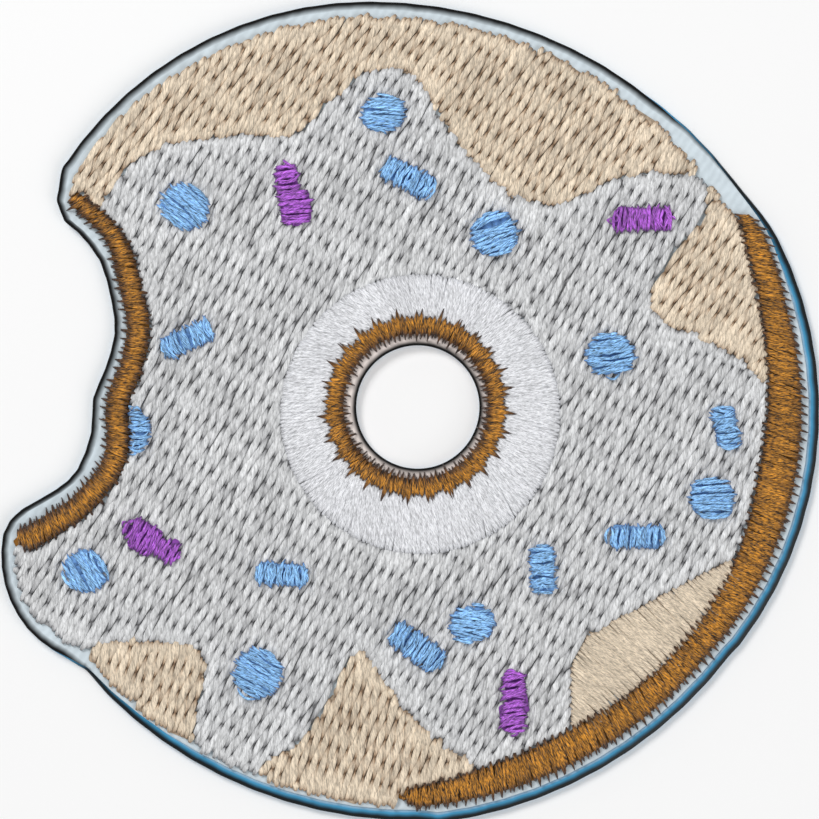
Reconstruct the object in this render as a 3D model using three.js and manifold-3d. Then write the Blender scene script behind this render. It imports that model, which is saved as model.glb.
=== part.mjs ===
// Embroidered patch in the shape of a ring doughnut with a bite taken out of its left side.
//
// Millimetres, +Z up. The patch lies flat on its backing film with the stitched side up, and its
// origin is at the bottom centre of its box. From the table up it is a backing film, a ground
// cloth with a rounded edge, flat fields of fill stitch (dough and glaze), domed columns of satin
// stitch (the browned edges and the white ring round the hole), and small satin sprinkles sewn
// on the glaze.

import * as THREE from 'three';
import { mergeVertices } from 'three/addons/utils/BufferGeometryUtils.js';
import Module from 'manifold-3d';

// ---- Driving dimensions -------------------------------------------------------------------

// Thickness of each layer.
const BACKING_THICK = 0.35;
const CLOTH_THICK = 0.8;
const FIELD_THICK = 0.45;
const BAND_THICK = 0.8;
const SPRINKLE_THICK = 0.5;

// Roundness of the edges that the layers show.
const CLOTH_ROUND = 0.3;
const BAND_ROUND = 0.3;
const SPRINKLE_ROUND = 0.2;

// The hole through the patch, and the stitched rings round it.
const HOLE = { x: 0.82, y: 0.42, radius: 5.92 };
const HOLE_EDGE = { x: 0.65, y: 0.5, inner: 6.75, outer: 8.4 };
const INNER_RING = { x: 1.05, y: -0.25, outer: 12.8 };

// The rim as arcs, clockwise from the upper tip of the bite: centre, radius, and the first and
// last angle in degrees counted from +X.
const RIM_UPPER_LEFT = { x: -3.7, y: 4.1, radius: 34.1, from: 147, to: 90 };
const RIM_UPPER_RIGHT = { x: -3.7, y: -4.6, radius: 42.8, from: 90, to: 37.5 };
const RIM_RIGHT = { x: 2.6, y: 0, radius: 35.5, from: 27, to: -37.5 };
const RIM_LOWER_RIGHT = { x: -2.2, y: 1.7, radius: 40.2, from: -37.2, to: -83 };
const RIM_BOTTOM = { x: 0.45, y: 2.5, radius: 40.5, from: -89, to: -139 };
const RIM_TIP = { x: -27.5, y: -13.5, radius: 10.5, from: -115, to: -191 };

// The bitten edge, from the lower tip up to the upper tip: two scallops left by the teeth.
const BITE = [
  [-37.2, -10.3], [-36.0, -9.2], [-32.9, -7.4], [-30.9, -5.5], [-29.6, -2.0], [-29.4, 1.2],
  [-28.3, 3.9], [-27.4, 7.2], [-27.7, 10.4], [-28.8, 14.2], [-30.9, 16.9], [-32.1, 17.9],
  [-32.8, 19.8],
];

// How far the backing film shows past the ground cloth, by the direction from the patch's centre
// in degrees: on the right and along the bottom, and fading out at both ends.
const FILM_SHOWS = [
  [-180, 0], [-150, 0], [-140, 0.3], [-130, 0.6], [-120, 0.85], [15, 0.85], [20, 0.75], [25, 0.5],
  [28, 0.4], [33, 0.25], [40, 0.15], [50, 0.1], [60, 0], [180, 0],
];
// How far the film is drawn in under the cloth where it doesn't show.
const FILM_DRAWN_IN = 0.25;
const FILM_INSET = [
  [-180, FILM_DRAWN_IN], [-150, FILM_DRAWN_IN], [-138, 0], [46, 0], [60, FILM_DRAWN_IN],
  [180, FILM_DRAWN_IN],
];

// Width of the plain cloth between the cloth's edge and the stitched fields, by the direction
// from the patch's centre in degrees. Under a satin column it reaches to the column's middle.
const PLAIN_WIDTH = [
  [-180, 1.8], [-165, 1.6], [-156, 1.1], [-150, 1.6], [-144, 1.4], [-141, 0.8], [-136, 0.5],
  [-90, 0.5], [-86, 1.2], [-60, 1.4], [15, 1.4], [22, 1.75], [34, 1.9], [46, 1.7], [60, 1.5],
  [115, 1.5], [130, 1.2], [145, 1.1], [152, 1.5], [160, 1.8], [180, 1.8],
];

// The free edge of the glaze, clockwise from the upper end of the bite. Where the glaze ends at
// the rim or under a satin column, the edge runs on past it.
const GLAZE_EDGE = [
  // Upper left lobe.
  [-28.7, 19.2], [-27.1, 21.6], [-25.2, 23.5], [-22.4, 24.9], [-19.6, 25.2], [-15.8, 25.7],
  [-12.1, 25.4], [-9.8, 26.1], [-7.9, 28.4], [-6.0, 29.8],
  // Top lobe and the valley after it.
  [-4.5, 31.4], [-2.4, 31.9], [-0.3, 31.6], [1.2, 30.4], [2.9, 27.3], [4.7, 24.9], [6.6, 22.6],
  [8.9, 20.5], [12.4, 19.2], [15.0, 19.5],
  // Upper right lobe and the valley after it.
  [20.1, 21.8], [23.9, 22.3], [26.6, 21.9], [27.9, 20.2], [27.2, 17.9], [25.5, 16.3],
  [24.1, 14.2], [22.8, 12.0], [22.4, 9.8],
  // Right lobe, which runs under the browned column.
  [24.4, 7.9], [28.6, 6.2], [31.8, 3.9], [33.9, 1.5], [34.9, -2.2], [34.9, -6.4], [33.7, -11.1],
  // Lower right lobe, which runs under the browned column again.
  [30.7, -13.4], [26.7, -15.3], [22.5, -17.6], [16.6, -20.9], [15.2, -23.2], [14.9, -26.0],
  [14.9, -29.3], [13.6, -32.0], [10.3, -33.3], [6.8, -33.3],
  // Notch at the bottom.
  [5.0, -32.0], [2.4, -30.2], [-0.9, -27.0], [-3.3, -23.4], [-4.7, -22.0], [-6.1, -23.6],
  [-8.4, -28.2], [-10.7, -31.1], [-13.3, -32.5],
  // Lower left lobe and the field beside it.
  [-15.8, -34.5], [-18.4, -34.5], [-19.9, -31.6], [-19.7, -28.4], [-18.9, -25.1],
  [-19.1, -22.5], [-20.9, -21.6], [-24.3, -21.4], [-27.8, -21.3], [-30.2, -22.0],
  // Round the lower tip, and back along the outside of the bitten edge.
  [-32.7, -23.7], [-37.4, -20.0], [-39.4, -14.4], [-37.8, -10.6], [-33.6, -8.3], [-29.6, -5.0],
  [-28.7, -1.7], [-28.9, 1.1], [-27.8, 4.8], [-27.1, 9.5], [-27.8, 14.2], [-29.0, 17.4],
];

// The satin column along the bite: points of its middle line, and its widths, spread evenly from
// the first end to the last.
const BITE_COLUMN = [
  [-31.2, 19.8], [-28.7, 17.7], [-27.1, 15.6], [-26.3, 12.8], [-25.6, 10.0], [-25.3, 7.6],
  [-25.9, 4.3], [-27.1, 1.5], [-27.3, -0.6], [-27.2, -3.1], [-28.2, -5.9], [-31.3, -9.3],
  [-36.0, -12.1],
];
const BITE_COLUMN_WIDTHS = [1.4, 2.1, 2.1, 2.1, 2.2];

// The browned column down the right side: its outer edge runs this far inside the rim's arcs,
// between these two angles, and its upper end and inner edge are curves through the points.
const SHADE_INSIDE_RIM = 1.4;
const SHADE_FROM = 17;
const SHADE_TO = -85.5;
const SHADE_UPPER_END = [
  [30.9, 18.2], [31.5, 18.5], [32.4, 17.8], [33.4, 16.1], [34.1, 14.2], [34.8, 12.0],
];
const SHADE_LOWER_END = [-0.7, -36.1];
const SHADE_INNER_EDGE = [
  [-0.1, -35.3], [4.4, -34.2], [11.2, -31.7], [17.3, -28.5], [23.0, -24.4], [27.6, -19.1],
  [30.9, -13.0], [32.6, -6.4], [33.6, 0.4], [33.3, 7.3], [32.1, 13.6], [31.2, 16.9],
];

// Sectors that part the dough's fields from each other, in degrees round the hole.
const DOUGH_FIELDS = {
  dough_top: [38.5, 152],
  dough_right: [-2, 38.5],
  dough_shade: [-66, -22],
  dough_bottom: [-120, -80],
  dough_left: [-148, -120],
};

// Round sprinkles: middle, width and length, and the direction of the length in degrees.
const DOTS = [
  { x: -2.4, y: 27.8, across: 3.5, along: 4.0, turn: 30 },
  { x: -21.0, y: 19.1, across: 4.1, along: 4.6, turn: 150 },
  { x: 8.0, y: 16.6, across: 4.1, along: 4.4, turn: 0 },
  { x: 18.8, y: 5.3, across: 4.0, along: 4.5, turn: 175 },
  { x: 28.3, y: -8.1, across: 3.9, along: 4.3, turn: 131 },
  { x: -30.2, y: -14.9, across: 3.8, along: 4.1, turn: 0 },
  { x: 5.9, y: -19.8, across: 3.5, along: 4.2, turn: 23 },
  { x: -14.1, y: -24.4, across: 4.4, along: 4.7, turn: 90 },
];
// This one is half covered by the column along the bite.
const HALF_DOT = { x: -26.2, y: -1.8, across: 4.1, along: 4.2, turn: 90 };

// Straight sprinkles: middle, length, width and direction in degrees.
const BARS = [
  { x: -0.1, y: 21.8, long: 5.1, wide: 2.1, turn: 154 },
  { x: -20.7, y: 6.8, long: 5.2, wide: 1.9, turn: 26 },
  { x: 29.6, y: -1.4, long: 4.1, wide: 1.9, turn: 105 },
  { x: 21.2, y: -11.7, long: 5.1, wide: 1.8, turn: 2 },
  { x: 12.5, y: -14.8, long: 4.5, wide: 2.1, turn: 92 },
  { x: -11.9, y: -15.2, long: 4.8, wide: 1.9, turn: 177 },
  { x: 0.7, y: -22.0, long: 5.6, wide: 2.3, turn: 144 },
];

// Purple sprinkles: points of the middle line, and widths from one end to the other.
const PURPLE_BARS = [
  { line: [[-11.4, 22.8], [-11.4, 21.0], [-10.6, 19.4], [-10.6, 17.7]], widths: [1.8, 2.0, 2.9, 2.1] },
  { line: [[19.4, 17.9], [21.8, 18.0], [24.2, 18.1]], widths: [2.0, 1.9, 2.1] },
  { line: [[-26.0, -10.7], [-24.6, -11.9], [-23.3, -12.6], [-21.9, -13.4]], widths: [1.9, 2.8, 1.6, 1.9] },
  { line: [[9.8, -24.6], [9.8, -27.2], [9.7, -29.6]], widths: [1.9, 2.0, 2.2] },
];

// Clearance between neighbours that lie side by side.
const GAP = 0.3;
// How far a curve may stray from the straight steps that stand for it.
const CHORD_ERROR = 0.035;
// Points of an outline that lie closer together than this are one point.
const CLOSEST = 0.15;
// Where an outline turns sharply, an inset corner moves at most this much further than its sides.
const MOST_LEAN = 0.7;
// A straight sprinkle's corner radius as a share of its width.
const BAR_CORNER = 0.32;
// How far a ribbon's rounded end reaches past its line, as a share of half its width.
const RIBBON_CAP = 0.5;
// A round sprinkle from its middle out: radius as a share of its width, and height as a share of
// its thickness. Its side is upright up to the first step in.
const DOT_PROFILE = [[0, 0], [0.5, 0], [0.5, 0.4], [0.4, 0.85], [0.2, 1], [0, 1]];
// How far a cutting solid reaches past what it cuts.
const CUT_PAST = 1;
// Radius of the sectors, past every edge of the patch.
const SECTOR_RADIUS = 60;

// Colours and surfaces of the threads and cloths.
const FINISHES = {
  backing: { color: 0x3f83a6, roughness: 0.6 },
  cloth: { color: 0xcfdbe2, roughness: 0.85 },
  dough: { color: 0xcbb898, roughness: 0.6 },
  glaze: { color: 0xb3b4b5, roughness: 0.55 },
  white: { color: 0xe4e6ea, roughness: 0.5 },
  brown: { color: 0x8a5a28, roughness: 0.5 },
  blue: { color: 0x6aa2dc, roughness: 0.5 },
  purple: { color: 0x7c2f8f, roughness: 0.5 },
};

// ---- Outlines -----------------------------------------------------------------------------

const radians = THREE.MathUtils.degToRad;

function toVectors(pairs) {
  return pairs.map(([x, y]) => new THREE.Vector2(x, y));
}

// Points along an arc, close enough together to stay within the chord error.
function arcPoints(arc, inwards = 0) {
  const radius = arc.radius - inwards;
  const step = THREE.MathUtils.radToDeg(2 * Math.acos(1 - CHORD_ERROR / radius));
  const count = Math.ceil(Math.abs(arc.to - arc.from) / step);
  const clockwise = arc.to < arc.from;
  const curve = new THREE.EllipseCurve(
    arc.x, arc.y, radius, radius, radians(arc.from), radians(arc.to), clockwise,
  );
  return curve.getPoints(count);
}

// Points along a smooth curve through the given ones.
function smoothPoints(points, perSpan) {
  return new THREE.SplineCurve(points).getPoints((points.length - 1) * perSpan);
}

// Points round a closed smooth curve through the given ones.
function smoothLoop(points, perSpan) {
  const lifted = points.map((p) => new THREE.Vector3(p.x, p.y, 0));
  const curve = new THREE.CatmullRomCurve3(lifted, true, 'centripetal');
  const round = curve.getPoints(points.length * perSpan).slice(0, -1);
  return round.map((p) => new THREE.Vector2(p.x, p.y));
}

// The same closed outline, anticlockwise and without points that nearly coincide.
function tidyLoop(points) {
  const kept = points.filter((p, i) => {
    const previous = points[(i + points.length - 1) % points.length];
    return p.distanceTo(previous) > CLOSEST;
  });
  return THREE.ShapeUtils.isClockWise(kept) ? kept.reverse() : kept;
}

// Moves each point of an anticlockwise outline inwards, square to the edge, by a width that may
// depend on the point. A negative width moves it outwards.
function insetLoop(points, widthAt) {
  return points.map((p, i) => {
    const before = points[(i + points.length - 1) % points.length];
    const after = points[(i + 1) % points.length];
    const edge1 = p.clone().sub(before).normalize();
    const edge2 = after.clone().sub(p).normalize();
    const inwards = new THREE.Vector2(-edge1.y - edge2.y, edge1.x + edge2.x).normalize();
    const lean = Math.max(MOST_LEAN, inwards.x * -edge1.y + inwards.y * edge1.x);
    return p.clone().addScaledVector(inwards, widthAt(p) / lean);
  });
}

// A value read off a list of [place, value] pairs, straight between neighbours.
function readOff(table, place) {
  const last = table.findIndex(([at]) => at >= place);
  const [at0, value0] = table[Math.max(last - 1, 0)];
  const [at1, value1] = table[Math.max(last, 1)];
  return THREE.MathUtils.mapLinear(place, at0, at1, value0, value1);
}

// The outline of a ribbon that follows a curve, with widths spread evenly from its first end to
// its last and both ends rounded.
function ribbonLoop(line, widths, perSpan) {
  const count = (line.length - 1) * perSpan;
  const curve = new THREE.SplineCurve(toVectors(line));
  const left = [];
  const right = [];
  for (let i = 0; i <= count; i += 1) {
    const t = i / count;
    const place = curve.getPoint(t);
    const along = curve.getTangent(t);
    const span = t * (widths.length - 1);
    const half = readOff(widths.map((width, at) => [at, width / 2]), span);
    const across = new THREE.Vector2(-along.y, along.x);
    left.push(place.clone().addScaledVector(across, half));
    right.push(place.clone().addScaledVector(across, -half));
  }
  const endCap = (t, half, outwards) => {
    const along = curve.getTangent(t).multiplyScalar(outwards);
    return curve.getPoint(t).addScaledVector(along, half * RIBBON_CAP);
  };
  const lastCap = endCap(1, widths[widths.length - 1] / 2, 1);
  const firstCap = endCap(0, widths[0] / 2, -1);
  return tidyLoop([...left, lastCap, ...right.reverse(), firstCap]);
}

// The outline of a straight bar with rounded corners.
function barLoop({ x, y, long, wide, turn }) {
  const corner = wide * BAR_CORNER;
  const perCorner = 2;
  const points = [];
  for (let side = 0; side < 4; side += 1) {
    const signX = side === 0 || side === 3 ? 1 : -1;
    const signY = side < 2 ? 1 : -1;
    for (let i = 0; i <= perCorner; i += 1) {
      const angle = radians(90 * (side + i / perCorner));
      points.push(new THREE.Vector2(
        signX * (long / 2 - corner) + corner * Math.cos(angle),
        signY * (wide / 2 - corner) + corner * Math.sin(angle),
      ));
    }
  }
  const middle = new THREE.Vector2(x, y);
  return points.map((p) => p.rotateAround(new THREE.Vector2(), radians(turn)).add(middle));
}

// A circle's outline.
function circleLoop(x, y, radius) {
  return arcPoints({ x, y, radius, from: 0, to: 360 }).slice(0, -1);
}

// A sector round the hole, from one angle to another.
function sectorLoop([from, to]) {
  const steps = 4;
  const points = [new THREE.Vector2(HOLE.x, HOLE.y)];
  for (let i = 0; i <= steps; i += 1) {
    const angle = radians(THREE.MathUtils.lerp(from, to, i / steps));
    points.push(new THREE.Vector2(
      HOLE.x + SECTOR_RADIUS * Math.cos(angle),
      HOLE.y + SECTOR_RADIUS * Math.sin(angle),
    ));
  }
  return points;
}

// Points along a curve that leads smoothly from the end of one clockwise arc to the start of the
// next.
function blendPoints(arc, next) {
  const start = arcPoints(arc).pop();
  const end = arcPoints(next).shift();
  const pull = start.distanceTo(end) / 3;
  const ahead = new THREE.Vector2(Math.sin(radians(arc.to)), -Math.cos(radians(arc.to)));
  const behind = new THREE.Vector2(-Math.sin(radians(next.from)), Math.cos(radians(next.from)));
  const curve = new THREE.CubicBezierCurve(
    start, start.clone().addScaledVector(ahead, pull), end.clone().addScaledVector(behind, pull), end,
  );
  const steps = 5;
  return curve.getPoints(steps).slice(1, -1);
}

// The patch's outline: the film's edge where it shows, and the cloth's edge elsewhere.
function patchLoop() {
  return tidyLoop([
    ...arcPoints(RIM_UPPER_LEFT),
    ...arcPoints(RIM_UPPER_RIGHT),
    ...blendPoints(RIM_UPPER_RIGHT, RIM_RIGHT),
    ...arcPoints(RIM_RIGHT),
    ...arcPoints(RIM_LOWER_RIGHT),
    ...arcPoints(RIM_BOTTOM),
    ...arcPoints(RIM_TIP),
    ...smoothPoints(toVectors(BITE), 2),
  ]);
}

// The direction of a point from the patch's centre, from -180 to 180 degrees.
function directionOf(point) {
  return THREE.MathUtils.radToDeg(Math.atan2(point.y, point.x));
}

// An outline drawn in by a width that is read off a table by direction.
function drawnIn(loop, table) {
  return tidyLoop(insetLoop(loop, (p) => readOff(table, directionOf(p))));
}

// The outline of the browned column.
function shadeLoop() {
  return tidyLoop([
    ...arcPoints({ ...RIM_RIGHT, from: SHADE_FROM }, SHADE_INSIDE_RIM),
    ...arcPoints({ ...RIM_LOWER_RIGHT, to: SHADE_TO }, SHADE_INSIDE_RIM),
    new THREE.Vector2(...SHADE_LOWER_END),
    ...smoothPoints(toVectors(SHADE_INNER_EDGE), 2),
    ...toVectors(SHADE_UPPER_END),
  ]);
}

// ---- Solids -------------------------------------------------------------------------------

const wasm = await Module();
wasm.setup();

// A flat slab with the given outline and holes, standing on height z.
function slab(outline, holes, z, thick, round = 0) {
  const shape = new THREE.Shape(outline);
  shape.holes = holes.map((hole) => new THREE.Path(hole));
  const geometry = new THREE.ExtrudeGeometry(shape, {
    depth: thick - 2 * round,
    bevelEnabled: round > 0,
    bevelThickness: round,
    bevelSize: round,
    bevelOffset: -round,
    bevelSegments: 2,
    steps: 1,
  });
  geometry.translate(0, 0, z + round);
  return geometry;
}

// A slab that cuts: it reaches past a layer's two faces.
function cutter(outline, z, thick) {
  return solid(slab(outline, [], z - CUT_PAST, thick + 2 * CUT_PAST));
}

// A geometry as a solid that can be joined and cut.
function solid(geometry) {
  const bare = geometry.clone();
  bare.deleteAttribute('normal');
  bare.deleteAttribute('uv');
  const merged = mergeVertices(bare);
  return new wasm.Manifold(new wasm.Mesh({
    numProp: 3,
    vertProperties: new Float32Array(merged.attributes.position.array),
    triVerts: new Uint32Array(merged.index.array),
  }));
}

// A solid as a geometry again.
function geometryOf(body) {
  const mesh = body.getMesh();
  const geometry = new THREE.BufferGeometry();
  geometry.setAttribute('position', new THREE.BufferAttribute(mesh.vertProperties, 3));
  geometry.setIndex(new THREE.BufferAttribute(mesh.triVerts, 1));
  geometry.computeVertexNormals();
  return geometry;
}

// A ring turned about the hole's axis, with a rounded top and a flat foot.
function ringGeometry({ x, y, inner, outer }, z) {
  const middle = (inner + outer) / 2;
  const half = (outer - inner) / 2;
  const profile = [new THREE.Vector2(middle + half, 0)];
  const steps = 4;
  for (let i = 0; i <= steps; i += 1) {
    const angle = Math.PI * (i / steps);
    const rise = BAND_THICK - BAND_ROUND;
    profile.push(new THREE.Vector2(
      middle + half * Math.cos(angle),
      BAND_ROUND + rise * Math.sin(angle),
    ));
  }
  profile.push(new THREE.Vector2(middle - half, 0));
  profile.push(profile[0].clone());
  const around = 40;
  const geometry = new THREE.LatheGeometry(profile, around);
  geometry.rotateX(Math.PI / 2);
  geometry.translate(x, y, z);
  return geometry;
}

// A domed round sprinkle.
function dotGeometry({ x, y, across, along, turn }, z) {
  const profile = toVectors(DOT_PROFILE.map(([out, up]) => [out, up * SPRINKLE_THICK]));
  const around = 16;
  const geometry = new THREE.LatheGeometry(profile, around);
  geometry.rotateX(Math.PI / 2);
  geometry.scale(along, across, 1);
  geometry.rotateZ(radians(turn));
  geometry.translate(x, y, z);
  return geometry;
}

// ---- The patch ----------------------------------------------------------------------------

const patch = new THREE.Group();

function addPiece(name, geometry, finish) {
  const { color, roughness } = FINISHES[finish];
  const material = new THREE.MeshStandardMaterial({ color, roughness, metalness: 0 });
  const mesh = new THREE.Mesh(geometry, material);
  mesh.name = name;
  patch.add(mesh);
}

const clothZ = BACKING_THICK;
const fieldZ = clothZ + CLOTH_THICK;
const sprinkleZ = fieldZ + FIELD_THICK;

function addGround(clothLoop) {
  const filmHole = circleLoop(HOLE.x, HOLE.y, HOLE.radius + FILM_DRAWN_IN);
  const film = slab(drawnIn(patchLoop(), FILM_INSET), [filmHole], 0, BACKING_THICK);
  addPiece('backing_film', film, 'backing');
  const holeLoop = circleLoop(HOLE.x, HOLE.y, HOLE.radius);
  const cloth = slab(clothLoop, [holeLoop], clothZ, CLOTH_THICK, CLOTH_ROUND);
  addPiece('ground_cloth', cloth, 'cloth');
}

function addFields(clothLoop, glazeLoop, biteLoop, brownLoop) {
  const field = solid(slab(drawnIn(clothLoop, PLAIN_WIDTH), [], fieldZ, FIELD_THICK));
  const grow = () => -GAP;
  const columns = cutter(insetLoop(biteLoop, grow), fieldZ, FIELD_THICK)
    .add(cutter(insetLoop(brownLoop, grow), fieldZ, FIELD_THICK));
  const ringRoom = circleLoop(INNER_RING.x, INNER_RING.y, INNER_RING.outer + GAP);
  const glaze = field
    .intersect(cutter(glazeLoop, fieldZ, FIELD_THICK))
    .subtract(columns)
    .subtract(cutter(ringRoom, fieldZ, FIELD_THICK));
  addPiece('glaze', geometryOf(glaze), 'glaze');

  const dough = field
    .subtract(cutter(tidyLoop(insetLoop(glazeLoop, grow)), fieldZ, FIELD_THICK))
    .subtract(columns);
  for (const [name, sector] of Object.entries(DOUGH_FIELDS)) {
    const part = dough.intersect(cutter(sectorLoop(sector), fieldZ, FIELD_THICK));
    addPiece(name, geometryOf(part), 'dough');
  }
}

function addColumns(biteLoop, brownLoop) {
  const ringHole = circleLoop(HOLE_EDGE.x, HOLE_EDGE.y, HOLE_EDGE.outer + GAP);
  const ringOutline = circleLoop(INNER_RING.x, INNER_RING.y, INNER_RING.outer);
  const ring = slab(ringOutline, [ringHole], fieldZ, BAND_THICK, BAND_ROUND);
  addPiece('inner_ring', ring, 'white');
  addPiece('hole_edge', ringGeometry(HOLE_EDGE, fieldZ), 'brown');
  addPiece('bite_edge', slab(biteLoop, [], fieldZ, BAND_THICK, BAND_ROUND), 'brown');
  addPiece('shade_band', slab(brownLoop, [], fieldZ, BAND_THICK, BAND_ROUND), 'brown');
}

function addSprinkles(biteLoop) {
  DOTS.forEach((dot, i) => addPiece(`dot_${i + 1}`, dotGeometry(dot, sprinkleZ), 'blue'));
  const covered = cutter(insetLoop(biteLoop, () => -GAP), sprinkleZ, SPRINKLE_THICK);
  const halfDot = solid(dotGeometry(HALF_DOT, sprinkleZ)).subtract(covered);
  addPiece('dot_half', geometryOf(halfDot), 'blue');
  BARS.forEach((bar, i) => {
    const geometry = slab(barLoop(bar), [], sprinkleZ, SPRINKLE_THICK, SPRINKLE_ROUND);
    addPiece(`bar_${i + 1}`, geometry, 'blue');
  });
  PURPLE_BARS.forEach(({ line, widths }, i) => {
    const outline = ribbonLoop(line, widths, 2);
    const geometry = slab(outline, [], sprinkleZ, SPRINKLE_THICK, SPRINKLE_ROUND);
    addPiece(`purple_${i + 1}`, geometry, 'purple');
  });
}

const clothOutline = drawnIn(patchLoop(), FILM_SHOWS);
const glazeOutline = tidyLoop(smoothLoop(toVectors(GLAZE_EDGE), 2));
const biteOutline = ribbonLoop(BITE_COLUMN, BITE_COLUMN_WIDTHS, 2);
const shadeOutline = shadeLoop();
addGround(clothOutline);
addFields(clothOutline, glazeOutline, biteOutline, shadeOutline);
addColumns(biteOutline, shadeOutline);
addSprinkles(biteOutline);

// The origin is at the middle of the patch's box.
const box = new THREE.Box3().setFromObject(patch);
const middle = box.getCenter(new THREE.Vector3());
patch.position.set(-middle.x, -middle.y, 0);

export default patch;
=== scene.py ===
"""Embroidered patch in the shape of a ring doughnut with a bite taken out of its left side.

Everything is built the way an embroidery machine builds it. A cloth with a rounded edge lies on a
blue backing film. Rows of running stitch fill the dough and the glaze, zigzags of satin stitch
make the browned edges and the white ring round the hole, and small satin patches make the
sprinkles. Every stitch is a closed thread of its own that dives into the cloth at both ends.
"""

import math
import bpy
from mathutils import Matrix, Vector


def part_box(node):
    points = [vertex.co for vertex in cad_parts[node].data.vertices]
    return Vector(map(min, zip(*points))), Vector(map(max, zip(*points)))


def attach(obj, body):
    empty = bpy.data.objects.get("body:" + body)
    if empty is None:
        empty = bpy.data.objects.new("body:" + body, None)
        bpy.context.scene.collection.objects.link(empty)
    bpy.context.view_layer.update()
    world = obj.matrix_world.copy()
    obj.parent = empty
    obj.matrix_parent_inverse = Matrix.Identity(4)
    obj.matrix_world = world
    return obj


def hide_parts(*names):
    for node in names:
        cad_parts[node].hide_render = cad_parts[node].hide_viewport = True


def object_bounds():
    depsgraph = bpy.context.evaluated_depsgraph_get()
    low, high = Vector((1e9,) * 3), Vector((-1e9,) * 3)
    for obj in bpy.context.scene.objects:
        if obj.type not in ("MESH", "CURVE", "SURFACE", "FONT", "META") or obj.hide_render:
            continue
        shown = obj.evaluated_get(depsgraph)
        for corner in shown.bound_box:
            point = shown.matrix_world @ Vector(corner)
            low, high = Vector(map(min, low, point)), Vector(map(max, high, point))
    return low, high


bl_info = {
    "name": "Bitten doughnut patch",
    "version": (1, 0, 0),
    "blender": (4, 5, 0),
    "location": "View3D > Sidebar > Patch",
    "description": "Stitches a patch shaped like a bitten ring doughnut on its packed frame",
    "category": "Object",
}

import bpy
import numpy as np

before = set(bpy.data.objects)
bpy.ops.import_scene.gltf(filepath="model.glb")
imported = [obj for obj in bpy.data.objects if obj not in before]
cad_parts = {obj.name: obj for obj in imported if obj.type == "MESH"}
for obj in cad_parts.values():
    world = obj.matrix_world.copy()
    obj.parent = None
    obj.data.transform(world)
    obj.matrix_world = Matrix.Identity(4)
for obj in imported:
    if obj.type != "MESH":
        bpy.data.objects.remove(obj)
CAD_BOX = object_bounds()

MM = 0.001
BODY = "root"
SEED = 20
SATIN_TWIST = 0.8  # how long one twist of a satin thread is, as a share of a row's


# ---- Sizes and colours ----


def linear(red, green, blue):
    """A display colour, 0 to 255, as the linear colour that shaders work in."""
    shown = np.array([red, green, blue]) / 255
    return tuple(np.where(shown <= 0.04045, shown / 12.92, ((shown + 0.055) / 1.055) ** 2.4))


def length(name, description, millimetres):
    """A property that holds a length."""
    return bpy.props.FloatProperty(
        name=name,
        description=description,
        default=millimetres * MM,
        min=0.0,
        precision=5,
        unit="LENGTH",
        subtype="DISTANCE",
    )


def angle(name, description, degrees):
    """A property that holds an angle."""
    return bpy.props.FloatProperty(
        name=name, description=description, default=math.radians(degrees), subtype="ANGLE"
    )


def colour(name, description, red, green, blue):
    """A property that holds a colour, given as a display colour."""
    return bpy.props.FloatVectorProperty(
        name=name,
        description=description,
        default=linear(red, green, blue),
        min=0.0,
        max=1.0,
        size=3,
        subtype="COLOR",
    )


def power(name, watts):
    """A property that holds the power of a lamp."""
    return bpy.props.FloatProperty(
        name=name, description="Power in watts", default=watts, min=0.0, subtype="POWER"
    )


class PatchStitches(bpy.types.PropertyGroup):
    """Sizes of the stitches."""

    row_pitch: length("Row spacing", "Distance between rows of running stitch", 0.44)
    stitch_length: length("Stitch length", "Length of one running stitch", 4.0)
    fill_width: length("Fill thread width", "Width of a thread in the filled fields", 0.64)
    fill_height: length("Fill thread height", "Height of a thread in the filled fields", 0.20)
    satin_pitch: length("Satin spacing", "Distance between neighbouring satin threads", 0.20)
    satin_width: length("Satin thread width", "Width of a satin thread", 0.34)
    satin_height: length("Satin thread height", "Height of a satin thread", 0.20)
    dive: length("Dive", "Length over which a row's thread bends down into the cloth", 1.35)
    ply_pitch: length("Twist", "Distance between two turns of the twisted plies", 1.9)
    wander: length("Wander", "How far a needle hole may lie from its place along a row", 0.24)
    ragged: length("Ragged edge", "How unevenly the rows of a field end", 0.22)
    reach: length("Reach", "How far the rows of a field reach past its outline", 0.32)


class PatchDirections(bpy.types.PropertyGroup):
    """Directions of the stitches, counted anticlockwise from +X."""

    glaze: angle("Glaze", "Direction of the glaze's rows", 61)
    dough_top: angle("Upper dough", "Direction of the upper dough's rows", 57)
    dough_right: angle("Right dough", "Direction of the right dough's rows", 55.5)
    dough_bottom: angle("Bottom dough", "Direction of the bottom dough's rows", 72)
    dough_left: angle("Left dough", "Direction of the left dough's rows", 69)
    dough_shade: angle("Shaded dough", "Direction of the long satin threads beside it", 134)


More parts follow.
